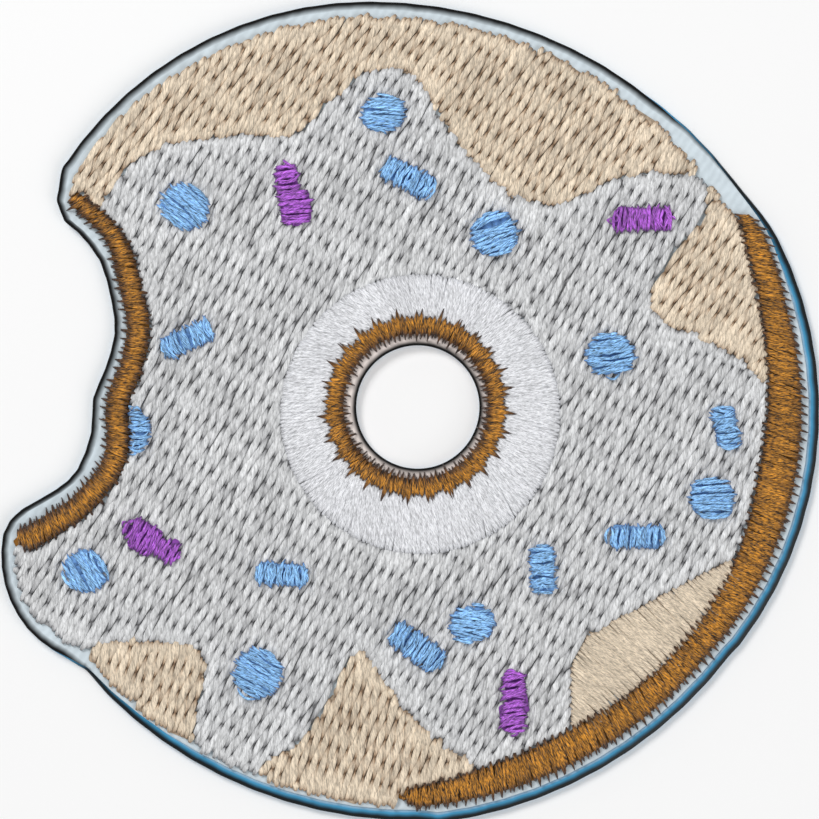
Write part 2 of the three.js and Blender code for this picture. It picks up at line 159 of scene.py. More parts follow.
class PatchColours(bpy.types.PropertyGroup):
    """Colours of the threads and cloths."""

    glaze: colour("Glaze", "Grey thread of the glaze", 220, 221, 222)
    dough: colour("Dough", "Tan thread of the dough", 230, 213, 189)
    white: colour("White ring", "White thread round the hole", 233, 234, 238)
    brown: colour("Browned edges", "Brown thread of the satin edges", 181, 122, 34)
    blue: colour("Blue sprinkles", "Blue thread", 150, 204, 255)
    purple: colour("Purple sprinkles", "Purple thread", 183, 99, 216)
    cloth: colour("Ground cloth", "Pale cloth that shows at the rim", 211, 223, 230)
    film: colour("Backing film", "Blue film under the cloth", 64, 146, 188)
    floor: colour("Floor", "Pale floor under the patch", 250, 250, 250)
    # The deep colours are painted shade: each thread is blended to its deep colour where it dives
    # into the cloth and little light reaches it.
    glaze_deep: colour("Glaze, deep", "Grey thread where it dives", 134, 134, 137)
    dough_deep: colour("Dough, deep", "Tan thread where it dives", 160, 128, 98)
    white_deep: colour("White, deep", "White thread where it dives", 206, 208, 213)
    brown_deep: colour("Brown, deep", "Brown thread where it dives", 60, 30, 14)
    blue_deep: colour("Blue, deep", "Blue thread where it dives", 68, 114, 186)
    purple_deep: colour("Purple, deep", "Purple thread where it dives", 72, 28, 98)
    # Painted reflected light: the cloth near the hole is painted warmer and lighter, standing in
    # for light thrown back from the brown ring.
    cloth_painted_bounce: colour("Cloth at the hole", "Cloth where the brown ring tints it", 250, 238, 232)
    # Painted shade: the dark line along the cloth's cut edge stands in for the shade where its
    # rounded edge turns down.
    cloth_painted_edge_shade: colour("Cloth, cut edge", "Dark scorched line along the cut edge", 12, 12, 12)
    # Painted shade: the dark line along the film's cut edge stands in for the shade where its
    # rounded lip turns down.
    film_painted_edge_shade: colour("Film, cut edge", "Dark line along the film's edge", 8, 17, 20)


class PatchStage(bpy.types.PropertyGroup):
    """Camera and light."""

    view_width: length("View width", "Width that the camera sees on the patch", 76.6)
    view_rise: length("View rise", "How far above the middle the camera looks", 0.19)
    lens: bpy.props.FloatProperty(
        name="Lens", description="Focal length in millimetres", default=200.0, min=1.0
    )
    key: power("Key light", 2.2)
    fill: power("Fill light", 1.5)
    sky: bpy.props.FloatProperty(
        name="Sky", description="Strength of the light from all round", default=0.46, min=0.0
    )


# ---- Outlines read from the frame ----


def node_triangles(node):
    """The corners of a frame node's triangles, one row of three points for each."""
    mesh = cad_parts[node].data
    mesh.calc_loop_triangles()
    corners = np.empty(len(mesh.loop_triangles) * 3, np.int32)
    mesh.loop_triangles.foreach_get("vertices", corners)
    points = np.empty(len(mesh.vertices) * 3, np.float32)
    mesh.vertices.foreach_get("co", points)
    return points.reshape(-1, 3)[corners].reshape(-1, 3, 3).astype(float)


CUT_HEIGHT = 0.45  # where a node's outline is read, as a share of its height


def outline(node):
    """The edges along which a level plane cuts a node, as pairs of points.

    Each triangle that the plane passes through gives one edge. Its two ends are where the plane
    meets two of the triangle's sides, found by the share of each side's height.
    """
    corners = node_triangles(node)
    heights = corners[..., 2]
    level = heights.min() + CUT_HEIGHT * (heights.max() - heights.min())
    passed = (heights > level).any(1) & (heights <= level).any(1)
    corners, above = corners[passed], heights[passed] > level
    following = np.roll(corners, -1, axis=1)
    climb = following[..., 2] - corners[..., 2]
    part = (level - corners[..., 2]) / np.where(climb == 0, 1, climb)
    places = corners + part[..., None] * (following - corners)
    met = above != np.roll(above, -1, axis=1)
    return places[met].reshape(-1, 2, 3)[..., :2]


def node_middle(node):
    """The middle of a node's box, seen from above."""
    low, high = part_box(node)
    return np.array([(low.x + high.x) / 2, (low.y + high.y) / 2])


def unit(turn):
    """The direction at an angle from +X, or one for each angle."""
    return np.stack([np.cos(turn), np.sin(turn)], axis=-1)


def cross(first, second):
    """The upright part of the cross product of flat vectors."""
    return first[..., 0] * second[..., 1] - first[..., 1] * second[..., 0]


def leftward(forward):
    """Flat directions turned a quarter to the left."""
    return forward[:, ::-1] * [-1, 1]


def stretches(edges, origins, forward):
    """Where straight lines run inside an outline: line number, and first and last place along it.

    A line crosses an edge whose two ends lie on either side of it. Each crossing divides its
    edge in the ratio of their distances from the line. Sorted along the line, the crossings pair
    off into the stretches that lie inside. Places are distances from the line's origin.
    """
    aside = cross(forward[:, None, None], edges[None] - origins[:, None, None])
    line, edge = np.nonzero((aside[..., 0] > 0) != (aside[..., 1] > 0))
    first, last = aside[line, edge, 0], aside[line, edge, 1]
    part = (first / (first - last))[:, None]
    place = edges[edge, 0] + part * (edges[edge, 1] - edges[edge, 0])
    along = ((place - origins[line]) * forward[line]).sum(1)
    order = np.lexsort((along, line))
    pairs = along[order].reshape(-1, 2)
    return line[order][::2], pairs[:, 0], pairs[:, 1]


def own_stretches(edges, lines):
    """Those stretches that hold the origin of their line."""
    line, first, last = stretches(edges, *lines)
    holds = (first <= 0) & (last >= 0)
    return line[holds], first[holds], last[holds]


def places_along(lines, line, place):
    """Points on lines, given by line number and place along it."""
    origins, forward = lines
    return origins[line] + place[:, None] * forward[line]


# ---- Needle places ----


def parallel_lines(edges, turn, pitch):
    """Lines in one direction that cover an outline, a pitch apart: origins and directions."""
    forward, aside = unit(turn), unit(turn + math.pi / 2)
    across = edges.reshape(-1, 2) @ aside
    count = int((across.max() - across.min()) / pitch)
    places = (across.max() + across.min()) / 2 + (np.arange(count) - (count - 1) / 2) * pitch
    return places[:, None] * aside, np.broadcast_to(forward, (count, 2))


def centred_lines(edges, turn, pitch):
    """Parallel lines over an outline whose origins lie half way along their longest stretch."""
    lines = parallel_lines(edges, turn, pitch)
    line, first, last = stretches(edges, *lines)
    order = np.lexsort((first - last, line))
    longest = order[np.append(True, np.diff(line[order]) > 0)]
    line, middle = line[longest], (first[longest] + last[longest]) / 2
    return places_along(lines, line, middle), lines[1][line]


def spoke_lines(edges, middle, pitch, skew):
    """Lines across a column that bends round a middle, evenly spaced along the column.

    Their origins lie half way between the column's two sides on the spokes from the middle.
    Their directions are those of the spokes turned by the skew, a list of (angle round the
    middle, turn) in degrees, read off in between.
    """
    out = edges.reshape(-1, 2) - middle
    reach = np.hypot(out[:, 0], out[:, 1])
    count = round(2 * math.pi * reach.mean() / pitch)
    angles = np.arange(count) * 2 * math.pi / count - math.pi
    spokes = unit(angles)
    line, first, last = stretches(edges, np.broadcast_to(middle, spokes.shape), spokes)
    ahead = (first + last > 0) & (np.append(True, np.diff(line) > 0) | (first > 0))
    line, first, last = line[ahead], first[ahead], last[ahead]
    origins = middle + ((first + last) / 2)[:, None] * spokes[line]
    places, turns = np.radians(np.array(skew, float)).T
    return origins, unit(angles[line] + np.interp(angles[line], places, turns))


SHORTEST_ROW = 0.2  # the shortest row that is sewn, as a share of a stitch
SHORTEST_STITCH = 0.25  # the shortest stitch at the end of a row, as a share of a stitch
BESIDE_ROW = 0.08  # how far holes lie beside their row, as a share of the row spacing
END_DIVE = 0.5  # how long the dive is at the end of a row, as a share of the others
DIVE_SPREAD = 0.25  # how much longer or shorter than the common one a dive may be


def running_stitches(edges, turn, sizes, chance):
    """Needle holes of a field filled with rows of running stitch: first and last of each stitch,
    and over what length the thread bends down at both.

    Holes lie a stitch length apart along each row, and every other row is shifted by half a
    stitch, like bricks. A row ends where it leaves the outline, plus the reach, and bends down
    sharply there.
    """
    lines = parallel_lines(edges, turn, sizes.row_pitch)
    row, first, last = stretches(edges, *lines)
    first = first - sizes.reach + chance.normal(0, sizes.ragged, len(row))
    last = last + sizes.reach + chance.normal(0, sizes.ragged, len(row))
    long_enough = last - first > SHORTEST_ROW * sizes.stitch_length
    row, first, last = row[long_enough], first[long_enough], last[long_enough]
    shortest = SHORTEST_STITCH * sizes.stitch_length
    shift = (row % 2) * sizes.stitch_length / 2
    low = np.ceil((first + shortest - shift) / sizes.stitch_length)
    high = np.floor((last - shortest - shift) / sizes.stitch_length)
    holes = np.maximum(high - low + 1, 0).astype(int) + 2
    span = np.repeat(np.arange(len(row)), holes)
    number = np.arange(holes.sum()) - np.repeat(np.cumsum(holes) - holes, holes)
    at_start, at_end = number == 0, number == holes[span] - 1
    along = (low[span] + number - 1) * sizes.stitch_length + shift[span]
    along += sizes.wander * np.clip(chance.normal(0, 1, len(span)), -2, 2)
    along = np.where(at_start, first[span], np.where(at_end, last[span], along))
    line = row[span]
    beside = chance.normal(0, BESIDE_ROW * sizes.row_pitch, len(span))
    needles = places_along(lines, line, along) + beside[:, None] * leftward(lines[1][line])
    spread = chance.uniform(1 - DIVE_SPREAD, 1 + DIVE_SPREAD, len(span))
    dives = np.where(at_start | at_end, END_DIVE, spread) * sizes.dive
    joined = span[1:] == span[:-1]
    stitch_dives = np.stack([dives[:-1][joined], dives[1:][joined]], axis=1)
    return needles[:-1][joined], needles[1:][joined], stitch_dives


SHORTEST_TAPER = 0.26 * MM
TOOTH_DRIFT = 0.5  # how far the teeth drift to and fro along the side, in radians
DRIFT_LENGTH = 3.7  # over how many teeth the drift turns by one radian
TOOTH_LEVEL = 0.3  # where the reach ends between a notch, at -1, and the tip of a tooth, at 1
FULL_GATHER = 0.15 * MM  # the tooth length from which holes gather fully


def satin_stitches(edges, lines, pitch, sides, stray, chance):
    """Needle holes of satin threads, one along each line, from one side of a shape to the other,
    and over what length each thread narrows at both.

    Threads lean to and fro like a zigzag, so that neighbours meet in a hole. On each side holes
    gather in bundles a tooth pitch apart, which are drawn out past the outline by the tooth
    length and leave notches in between. A side is its reach, tooth pitch, tooth length, how
    sharp the teeth are and how deep inside the outline the threads begin to narrow. A sharpness
    of 1 is a plain wave, and more makes thin spikes. Stray is how far the holes lie beside their
    places, as a share of the pitch.
    """
    line, first, last = own_stretches(edges, lines)
    aside = leftward(lines[1][line])
    lean = np.where(line % 2 == 0, 0.5, -0.5) * pitch
    needles, tapers = [], []
    for edge, outwards, side in zip((first, last), (-1, 1), sides):
        reach, tooth_pitch, tooth, sharp, margin = side
        place = line * pitch + outwards * lean
        phase = 2 * math.pi * (place / tooth_pitch + 0.25 * outwards)
        phase += TOOTH_DRIFT * np.sin(place / (DRIFT_LENGTH * tooth_pitch))
        peak = 2 * (0.5 + 0.5 * np.cos(phase)) ** sharp - 1
        rough = chance.normal(0, 0.12 * tooth + 0.04 * MM, len(line))
        drawn = reach + tooth * (peak - TOOTH_LEVEL) + rough
        gather = -0.5 * min(tooth / FULL_GATHER, 1) * tooth_pitch / (2 * math.pi) * np.sin(phase)
        beside = outwards * lean + gather + chance.normal(0, stray * pitch, len(line))
        holes = places_along(lines, line, edge + outwards * drawn)
        needles.append(holes + beside[:, None] * aside)
        tapers.append(np.maximum(drawn + margin, SHORTEST_TAPER))
    return *needles, np.stack(tapers, axis=1)


# ---- Threads ----

SIDES = 6
# Stations of a thread as shares of its dive, from its hole to where it lies level.
DIVE_STATIONS = np.array([0.0, 0.2, 0.5, 1.0])
# How far a thread has risen and swollen at each station and at its middle, and how much light
# comes there, which its colour shows as painted shade. A row's thread is widest at its middle,
# where it fills the gap between its neighbours' holes.
ROW_SHAPE = (
    (0.0, 0.35, 0.75, 1.0, 1.0),
    (0.42, 0.62, 0.86, 1.0, 1.16),
    (0.0, 0.24, 0.66, 0.97, 1.0),
)
SATIN_SHAPE = (
    (0.0, 0.45, 0.85, 1.0, 1.0),
    (0.3, 0.6, 0.9, 1.0, 1.0),
    (0.0, 0.25, 0.7, 1.0, 1.0),
)
# A thread that ends in a thin spike, its tip darkened with painted shade.
SPIKE_SHAPE = (
    (0.0, 0.5, 0.85, 1.0, 1.0),
    (0.1, 0.28, 0.55, 1.0, 1.0),
    (0.0, 0.03, 0.2, 0.8, 1.0),
)
# A thread that ends in a broad tooth, its tip darkened with painted shade.
TOOTH_SHAPE = (
    (0.0, 0.45, 0.8, 1.0, 1.0),
    (0.24, 0.5, 0.8, 1.0, 1.0),
    (0.0, 0.02, 0.12, 0.75, 1.0),
)
# A thread that ends in a thin pale spike.
FRINGE_SHAPE = (
    (0.0, 0.4, 0.8, 1.0, 1.0),
    (0.2, 0.45, 0.8, 1.0, 1.0),
    (0.35, 0.6, 0.85, 1.0, 1.0),
)
# A thread that fades into the ones below it.
SOFT_SHAPE = (
    (0.0, 0.5, 0.85, 1.0, 1.0),
    (0.5, 0.75, 0.95, 1.0, 1.0),
    (0.3, 0.6, 0.85, 1.0, 1.0),
)


def whole_shape(near, far):
    """A thread's shape from end to end, given from each end to the middle."""
    return [np.append(first, last[-2::-1]) for first, last in zip(near, far)]


def thread_pattern(stations):
    """The faces of one closed thread: their corners, how many corners each has, and how far
    round the thread each corner lies, as a share of its girth.

    Points are numbered ring by ring, a ring of sides at each station, and then the two tips.
    """
    ring = np.arange(stations - 1)[:, None] * SIDES
    here = np.arange(SIDES)
    after = (here + 1) % SIDES
    quads = np.stack([ring + here, ring + after, ring + after + SIDES, ring + here + SIDES], -1)
    end_ring, tip = (stations - 1) * SIDES, np.full(SIDES, stations * SIDES)
    fan_start = np.stack([after, here, tip], -1)
    fan_end = np.stack([end_ring + here, end_ring + after, tip + 1], -1)
    corners = np.concatenate([quads.ravel(), fan_start.ravel(), fan_end.ravel()])
    sizes = [4] * ((stations - 1) * SIDES) + [3] * (2 * SIDES)
    around = np.stack([here, here + 1, here + 1, here], -1).ravel() / SIDES
    fan = np.stack([here + 1, here, here + 0.5], -1).ravel() / SIDES
    fan_back = np.stack([here, here + 1, here + 0.5], -1).ravel() / SIDES
    turns = np.concatenate([np.tile(around, stations - 1), fan, fan_back])
    return corners, sizes, turns


def thread_arrays(
    starts, ends, lows, high, width, height, dives, chance, shapes=(SATIN_SHAPE,) * 2,
    crown=0.0, sway=0.08, uneven=0.1,
):
    """Closed threads between needle holes, one for each pair.

    The middle line rises from its hole, runs level with a slight crown, and goes down the same
    way, over the length of each end's dive. Lows are the heights and shapes the forms of the two
    ends. The section is an ellipse square to that line, which narrows towards the holes, and
    each end closes in a point inside the cloth. Sway is the sideways bend and uneven the spread
    of heights, as shares of the thread's width and height.
    """
    count = len(starts)
    chord = ends - starts
    long = np.linalg.norm(chord, axis=1)
    forward = chord / long[:, None]
    side = np.stack([-forward[:, 1], forward[:, 0], np.zeros(count)], axis=1)
    dips = np.minimum(dives, 0.45 * long[:, None])
    near = dips[:, :1] * DIVE_STATIONS
    far = long[:, None] - dips[:, 1:] * DIVE_STATIONS[::-1]
    middle = (near[:, -1:] + far[:, :1]) / 2
    reach = np.hstack([near, middle, far])
    rise, swell, light = whole_shape(*shapes)
    arch = 1 - (2 * reach / long[:, None] - 1) ** 2

    stations = reach.shape[1]
    line = np.zeros((count, stations, 3))
    line[..., :2] = starts[:, None] + reach[..., None] * forward[:, None]
    bend = chance.normal(0, sway * width, count)
    line += (bend[:, None] * arch)[..., None] * side[:, None]
    top = high - height / 2 - crown + chance.normal(0, uneven * height, count)
    low = np.where(np.arange(stations) < stations / 2, *lows)
    line[..., 2] = low + (top[:, None] - low) * rise + crown * arch

    ahead = np.concatenate([line[:, 1:], line[:, -1:]], axis=1)
    behind = np.concatenate([line[:, :1], line[:, :-1]], axis=1)
    tangent = ahead - behind
    tangent /= np.linalg.norm(tangent, axis=2)[..., None]
    up = np.cross(tangent, side[:, None])
    turn = 2 * np.pi * np.arange(SIDES) / SIDES - np.pi / 2
    half_width = width / 2 * swell * chance.normal(1, 0.05, (count, 1))
    half_height = height / 2 * (0.5 + 0.5 * swell)
    sideways = half_width[:, :, None, None] * np.cos(turn)[:, None] * side[:, None, None]
    upwards = (half_height[:, None] * np.sin(turn))[None, ..., None] * up[:, :, None]
    rings = line[:, :, None] + sideways + upwards
    tip = np.array([0, 0, -0.4 * height])
    points = np.concatenate(
        [rings.reshape(count, -1, 3), line[:, :1] + tip, line[:, -1:] + tip], axis=1
    )

    pattern, sizes, turns = thread_pattern(stations)
    corners = pattern + np.arange(count)[:, None] * points.shape[1]
    step = np.linalg.norm(np.diff(line, axis=1), axis=2)
    run = np.hstack([np.zeros((count, 1)), np.cumsum(step, axis=1)])
    tips_run = [run[:, :1] - height, run[:, -1:] + height]
    run_corner = np.hstack([np.repeat(run, SIDES, axis=1), *tips_run])[:, pattern]
    offset = chance.uniform(0, 40, (count, 1)) * MM
    thread_map = np.stack([run_corner + offset, np.broadcast_to(turns, run_corner.shape)], -1)
    tone = np.repeat(chance.normal(0, 1, count), points.shape[1])
    lights = np.hstack([np.repeat(light, SIDES), 0, 0])
    return {
        "points": points.reshape(-1, 3),
        "corners": corners.ravel(),
        "face_sizes": np.tile(sizes, count),
        "thread": thread_map.reshape(-1, 2),
        "OFBake": bake_map(run_corner, turns, count),
        "tone": np.clip(tone, -2, 2),
        "light": np.tile(lights, count),
    }


def bake_map(run, turns, count):
    """A flat map with one cell for each thread, its length across the cell and its girth up."""
    low, high = run.min(1, keepdims=True), run.max(1, keepdims=True)
    across = (run - low) / (high - low)
    columns = math.ceil(math.sqrt(count / 3.5))
    rows = math.ceil(count / columns)
    number = np.arange(count)[:, None]
    margin = 0.06
    u = (number % columns + margin + (1 - 2 * margin) * across) / columns
    v = (number // columns + margin + (1 - 2 * margin) * turns) / rows
    return np.stack([u, v], axis=-1).reshape(-1, 2)


def join_arrays(parts):
    """Several sets of thread arrays as one. Each set gets a strip of the flat map."""
    joined = {key: np.concatenate([part[key] for part in parts]) for key in parts[0]}
    counts = np.array([len(part["points"]) for part in parts])
    firsts = np.cumsum(counts) - counts
    joined["corners"] = np.concatenate([p["corners"] + first for p, first in zip(parts, firsts)])
    strips = [
        part["OFBake"] * [1, count / counts.sum()] + [0, first / counts.sum()]
        for part, count, first in zip(parts, counts, firsts)
    ]
    joined["OFBake"] = np.concatenate(strips)
    return joined


# ---- Pieces ----


def make_piece(name, arrays, material, nodes):
    """A new piece from whole arrays, which rides on the patch and stands for frame nodes."""
    mesh = bpy.data.meshes.new(name)
    mesh.vertices.add(len(arrays["points"]))
    mesh.vertices.foreach_set("co", arrays["points"].ravel().astype(np.float32))
    mesh.loops.add(len(arrays["corners"]))
    mesh.loops.foreach_set("vertex_index", arrays["corners"].astype(np.int32))
    sizes = np.asarray(arrays["face_sizes"], np.int32)
    mesh.polygons.add(len(sizes))
    mesh.polygons.foreach_set("loop_start", (np.cumsum(sizes) - sizes).astype(np.int32))
    for key in ("thread", "OFBake"):
        if key in arrays:
            layer = mesh.uv_layers.new(name=key)
            layer.uv.foreach_set("vector", arrays[key].ravel().astype(np.float32))
    for key in ("tone", "light", "edge"):
        if key in arrays:
            attribute = mesh.attributes.new(key, "FLOAT", "POINT")
            attribute.data.foreach_set("value", arrays[key].astype(np.float32))
    mesh.update(calc_edges=True)
    mesh.shade_smooth()
    mesh.materials.append(material)
    piece = bpy.data.objects.new(name, mesh)
    bpy.context.scene.collection.objects.link(piece)
    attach(piece, BODY)
    if nodes:
        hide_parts(*nodes)
    return piece


def ring_arrays(sections, shade):
    """A closed surface from sections round the hole: sections[i, k] is point k of section i, and
    both the sections and the points of each close on themselves. Shade is how far inside the cut
    edge each point looks, which places the painted dark line of shade along that edge."""
    around, steps = sections.shape[:2]
    i, k = np.meshgrid(np.arange(around), np.arange(steps), indexing="ij")
    after_i, after_k = (i + 1) % around, (k + 1) % steps
    faces = [(i, k), (i, after_k), (after_i, after_k), (after_i, k)]
    return {
        "points": sections.reshape(-1, 3),
        "corners": np.stack([section * steps + step for section, step in faces], -1).ravel(),
        "face_sizes": np.full(around * steps, 4),
        "edge": shade.ravel(),
    }


def stitch(name, colour_name, nodes, parts, satin=False):
    """One piece from sets of thread arrays, which stands for frame nodes."""
    material = thread_material(colour_name, satin)
    return make_piece(name, join_arrays(parts), material, nodes)


def underlay(name, colour_name, parts):
    """The piece that holds a group's underlay."""
    material = underlay_material(colour_name)
    return make_piece(name, join_arrays(parts), material, [])


# ---- Materials ----


class Tree:
    """Adds nodes and links to a node tree."""

    def __init__(self, tree):
        self.tree = tree

    def link(self, value, socket):
        """Links a socket to another, or sets a plain value on it."""
        if isinstance(value, bpy.types.NodeSocket):
            self.tree.links.new(value, socket)
        else:
            socket.default_value = value

    def fill(self, node, values):
        """Links or sets the named sockets of a node."""
        for key, value in values.items():
            self.link(value, node.inputs[key])

    def add(self, kind, values=None, **settings):
        """A new node with its settings and the values of its named sockets."""
        node = self.tree.nodes.new(kind)
        for key, value in settings.items():
            setattr(node, key, value)
        self.fill(node, values or {})
        return node

    def maths(self, operation, *values):
        """The result of one sum."""
        node = self.add("ShaderNodeMath", operation=operation)
        for value, socket in zip(values, node.inputs):
            self.link(value, socket)
        return node.outputs[0]

    def blend(self, factor, first, second, kind="MIX"):
        """A blend of two colours."""
        values = {"Factor": factor, "A": first, "B": second}
        settings = {"data_type": "RGBA", "blend_type": kind, "clamp_factor": True}
        return self.add("ShaderNodeMix", values, **settings).outputs["Result"]

    def scale_range(self, value, low, high, new_low, new_high):
        """A value carried from one range over to another, and held inside it."""
        keys = ("Value", "From Min", "From Max", "To Min", "To Max")
        values = dict(zip(keys, (value, low, high, new_low, new_high)))
        return self.add("ShaderNodeMapRange", values).outputs[0]

    def attribute(self, name):
        """A number that the piece holds at each of its points."""
        return self.add("ShaderNodeAttribute", attribute_name=name).outputs["Fac"]

    def place(self):
        """The place of a point on its piece."""
        return self.add("ShaderNodeTexCoord").outputs["Object"]

    def noise(self, vector, scale, detail=2.0, roughness=0.5):
        """Soft random values round one half."""
        values = {"Vector": vector, "Scale": scale, "Detail": detail, "Roughness": roughness}
        return self.add("ShaderNodeTexNoise", values).outputs["Fac"]

    def bump(self, height, strength, distance):
        """A normal that follows a height."""
        values = {"Height": height, "Strength": strength, "Distance": distance}
        return self.add("ShaderNodeBump", values).outputs[0]

    def group(self, group, values):
        """The outputs of a node group placed in this tree."""
        return self.add("ShaderNodeGroup", values, node_tree=group).outputs


def new_group(name, inputs, outputs):
    """An empty shader node group with named sockets. Inputs are given with their plain values,
    which colours do without."""
    group = bpy.data.node_groups.new(name, "ShaderNodeTree")

    def new_socket(key, way):
        kind = "NodeSocketColor" if key in ("Colour", "Deep") else "NodeSocketFloat"
        return group.interface.new_socket(key, in_out=way, socket_type=kind)

    for key, value in inputs.items():
        socket = new_socket(key, "INPUT")
        if value is not None:
            socket.default_value = value
    for key in outputs:
        new_socket(key, "OUTPUT")
    tree = Tree(group)
    return group, tree, tree.add("NodeGroupInput").outputs, tree.add("NodeGroupOutput")


def ply_twist():
    """Two plies wound round each other. Ridge is 1 on top of a ply and 0 in the groove between
    them, Fibre is a fine streak along the plies, and Height joins both."""
    if "ply_twist" in bpy.data.node_groups:
        return bpy.data.node_groups["ply_twist"]
    given_values = {"Along": 0.0, "Around": 0.0, "Tone": 0.0, "Pitch": 0.00055}
    group, tree, given, result = new_group(
        "ply_twist", given_values, ("Height", "Ridge", "Fibre")
    )
    turns = tree.maths("DIVIDE", given["Along"], given["Pitch"])
    phase = tree.maths("ADD", turns, tree.maths("MULTIPLY", given["Around"], 2.0))
    ridge = tree.maths("ABSOLUTE", tree.maths("SINE", tree.maths("MULTIPLY", phase, math.pi)))
    ridge = tree.maths("POWER", ridge, 0.7)
    streaks = {
        "X": tree.maths("MULTIPLY", phase, 6.5),
        "Y": tree.maths("MULTIPLY", turns, 3.0),
        "Z": tree.maths("MULTIPLY", given["Tone"], 31.0),
    }
    place = tree.add("ShaderNodeCombineXYZ", streaks).outputs[0]
    fibre = tree.noise(place, 1.0, roughness=0.6)
    height = tree.maths("MULTIPLY_ADD", fibre, 1.6, ridge)
    tree.fill(result, {"Height": height, "Ridge": ridge, "Fibre": fibre})
    return group


def thread_tint():
    """The colour of a dyed thread, a little different from thread to thread, along each thread and
    over the patch. Its fine streaks along the plies are partly grain and partly painted highlight,
    and it has painted shade in the grooves between the plies and where it dives."""
    if "thread_tint" in bpy.data.node_groups:
        return bpy.data.node_groups["thread_tint"]
    given_values = {
        "Colour": None, "Deep": None, "Tone": 0.0, "Light": 1.0, "Ridge": 1.0, "Fibre": 0.5,
        "Spread": 0.06, "Depth": 1.0,
    }
    group, tree, given, result = new_group(
        "thread_tint", given_values, ("Colour", "Roughness")
    )
    patchy = tree.scale_range(tree.noise(tree.place(), 260.0), 0.3, 0.7, 0.95, 1.05)
    thread = tree.maths("MULTIPLY_ADD", given["Tone"], given["Spread"], 1.0)
    # Partly grain and partly painted highlight: the fine streaks along the plies lighten and
    # darken the colour. Painted shade: the grooves between the plies are darker.
    streak = tree.scale_range(given["Fibre"], 0.36, 0.64, -0.36, 0.32)
    groove = tree.scale_range(given["Ridge"], 0.0, 0.8, -0.16, 0.03)
    relief = tree.maths("MULTIPLY_ADD", tree.maths("ADD", streak, groove), given["Depth"], 1.0)
    bright = tree.maths("MULTIPLY", tree.maths("MULTIPLY", patchy, thread), relief)
    # Painted shade: the thread blends to its deep colour where the light attribute is low, towards
    # its holes.
    painted_dive_shade = tree.scale_range(given["Light"], 0.0, 1.0, 1.0, 0.0)
    tinted = tree.blend(painted_dive_shade, given["Colour"], given["Deep"])
    grey = tree.add("ShaderNodeCombineColor", {"Red": bright, "Green": bright, "Blue": bright})
    shown = tree.blend(1.0, tinted, grey.outputs[0], "MULTIPLY")
    rough = tree.scale_range(given["Fibre"], 0.3, 0.7, 0.58, 0.42)
    tree.fill(result, {"Colour": shown, "Roughness": rough})
    return group


def edge_shade():
    """The look of a cut edge: Blend is 0 on the edge and 1 where the plain sheet begins, and
    grows with a power of the way between. Both distances vary a little along the edge."""
    if "edge_shade" in bpy.data.node_groups:
        return bpy.data.node_groups["edge_shade"]
    group, tree, given, result = new_group(
        "edge_shade", {"Dark": 0.0, "Plain": 0.0006, "Power": 1.5}, ("Blend",)
    )
    stray = tree.scale_range(tree.noise(tree.place(), 900.0), 0.3, 0.7, -0.00003, 0.00003)
    place = tree.maths("ADD", tree.attribute("edge"), stray)
    share = tree.scale_range(place, given["Dark"], given["Plain"], 0.0, 1.0)
    tree.fill(result, {"Blend": tree.maths("POWER", share, given["Power"])})
    return group


def opaque(colour, share=1.0):
    """A colour made darker or lighter by a share, as shaders take it."""
    return (*np.minimum(np.array(colour) * share, 1.0), 1.0)


def new_material(name):
    """A material with one Principled shader, and the tools to add nodes to it."""
    material = bpy.data.materials.new(name)
    material.use_nodes = True
    tree = Tree(material.node_tree)
    return material, tree, material.node_tree.nodes["Principled BSDF"]


# How much the threads of a colour differ in brightness, and how strong the painted shade in their
# grooves and the painted highlights of their streaks are.
GRAIN = {
    "glaze": (0.06, 0.85),
    "dough": (0.06, 0.95),
    "white": (0.02, 0.9),
    "brown": (0.17, 3.0),
    "blue": (0.12, 2.0),
    "purple": (0.14, 2.2),
}


def thread_material(name, satin):
    """Shiny twisted thread of one colour. The plies of a satin thread turn over a shorter way."""
    key = f"{name}_satin" if satin else f"{name}_rows"
    if key in bpy.data.materials:
        return bpy.data.materials[key]
    colours = bpy.context.scene.patch_colours
    pitch = bpy.context.scene.patch_stitches.ply_pitch * (SATIN_TWIST if satin else 1.0)
    spread, depth = GRAIN[name]
    material, tree, shader = new_material(key)
    thread_place = tree.add("ShaderNodeUVMap", uv_map="thread").outputs[0]
    along, around, _ = tree.add("ShaderNodeSeparateXYZ", {"Vector": thread_place}).outputs
    tone = tree.attribute("tone")
    plies = tree.group(
        ply_twist(), {"Along": along, "Around": around, "Tone": tone, "Pitch": pitch}
    )
    tint = tree.group(
        thread_tint(),
        {
            "Colour": opaque(getattr(colours, name)),
            "Deep": opaque(getattr(colours, f"{name}_deep")),
            "Spread": spread,
            "Depth": depth,
            "Tone": tone,
            "Light": tree.attribute("light"),
            "Ridge": plies["Ridge"],
            "Fibre": plies["Fibre"],
        },
    )
    tree.fill(
        shader,
        {
            "Base Color": tint["Colour"],
            "Roughness": tint["Roughness"],
            "Normal": tree.bump(plies["Height"], 1.0, 0.06 * MM),
            "Specular IOR Level": 0.45,
            "Sheen Weight": 0.25,
            "Sheen Roughness": 0.4,
        },
    )
    return material


def underlay_material(name):
    """The same thread below the stitches, painted darker with painted shade, since little light
    comes there.
    """
    key = f"{name}_underlay"
    if key in bpy.data.materials:
        return bpy.data.materials[key]
    colours = bpy.context.scene.patch_colours
    deep = np.array(getattr(colours, f"{name}_deep"))
    base = 0.5 * np.array(getattr(colours, name)) + 0.5 * deep
    material, tree, shader = new_material(key)
    shades = tree.scale_range(tree.noise(tree.place(), 2500.0), 0.3, 0.7, 0.0, 1.0)
    shown = tree.blend(shades, opaque(base, 0.6), opaque(base, 1.2))
    tree.fill(shader, {"Base Color": shown, "Roughness": 0.9})
    return material


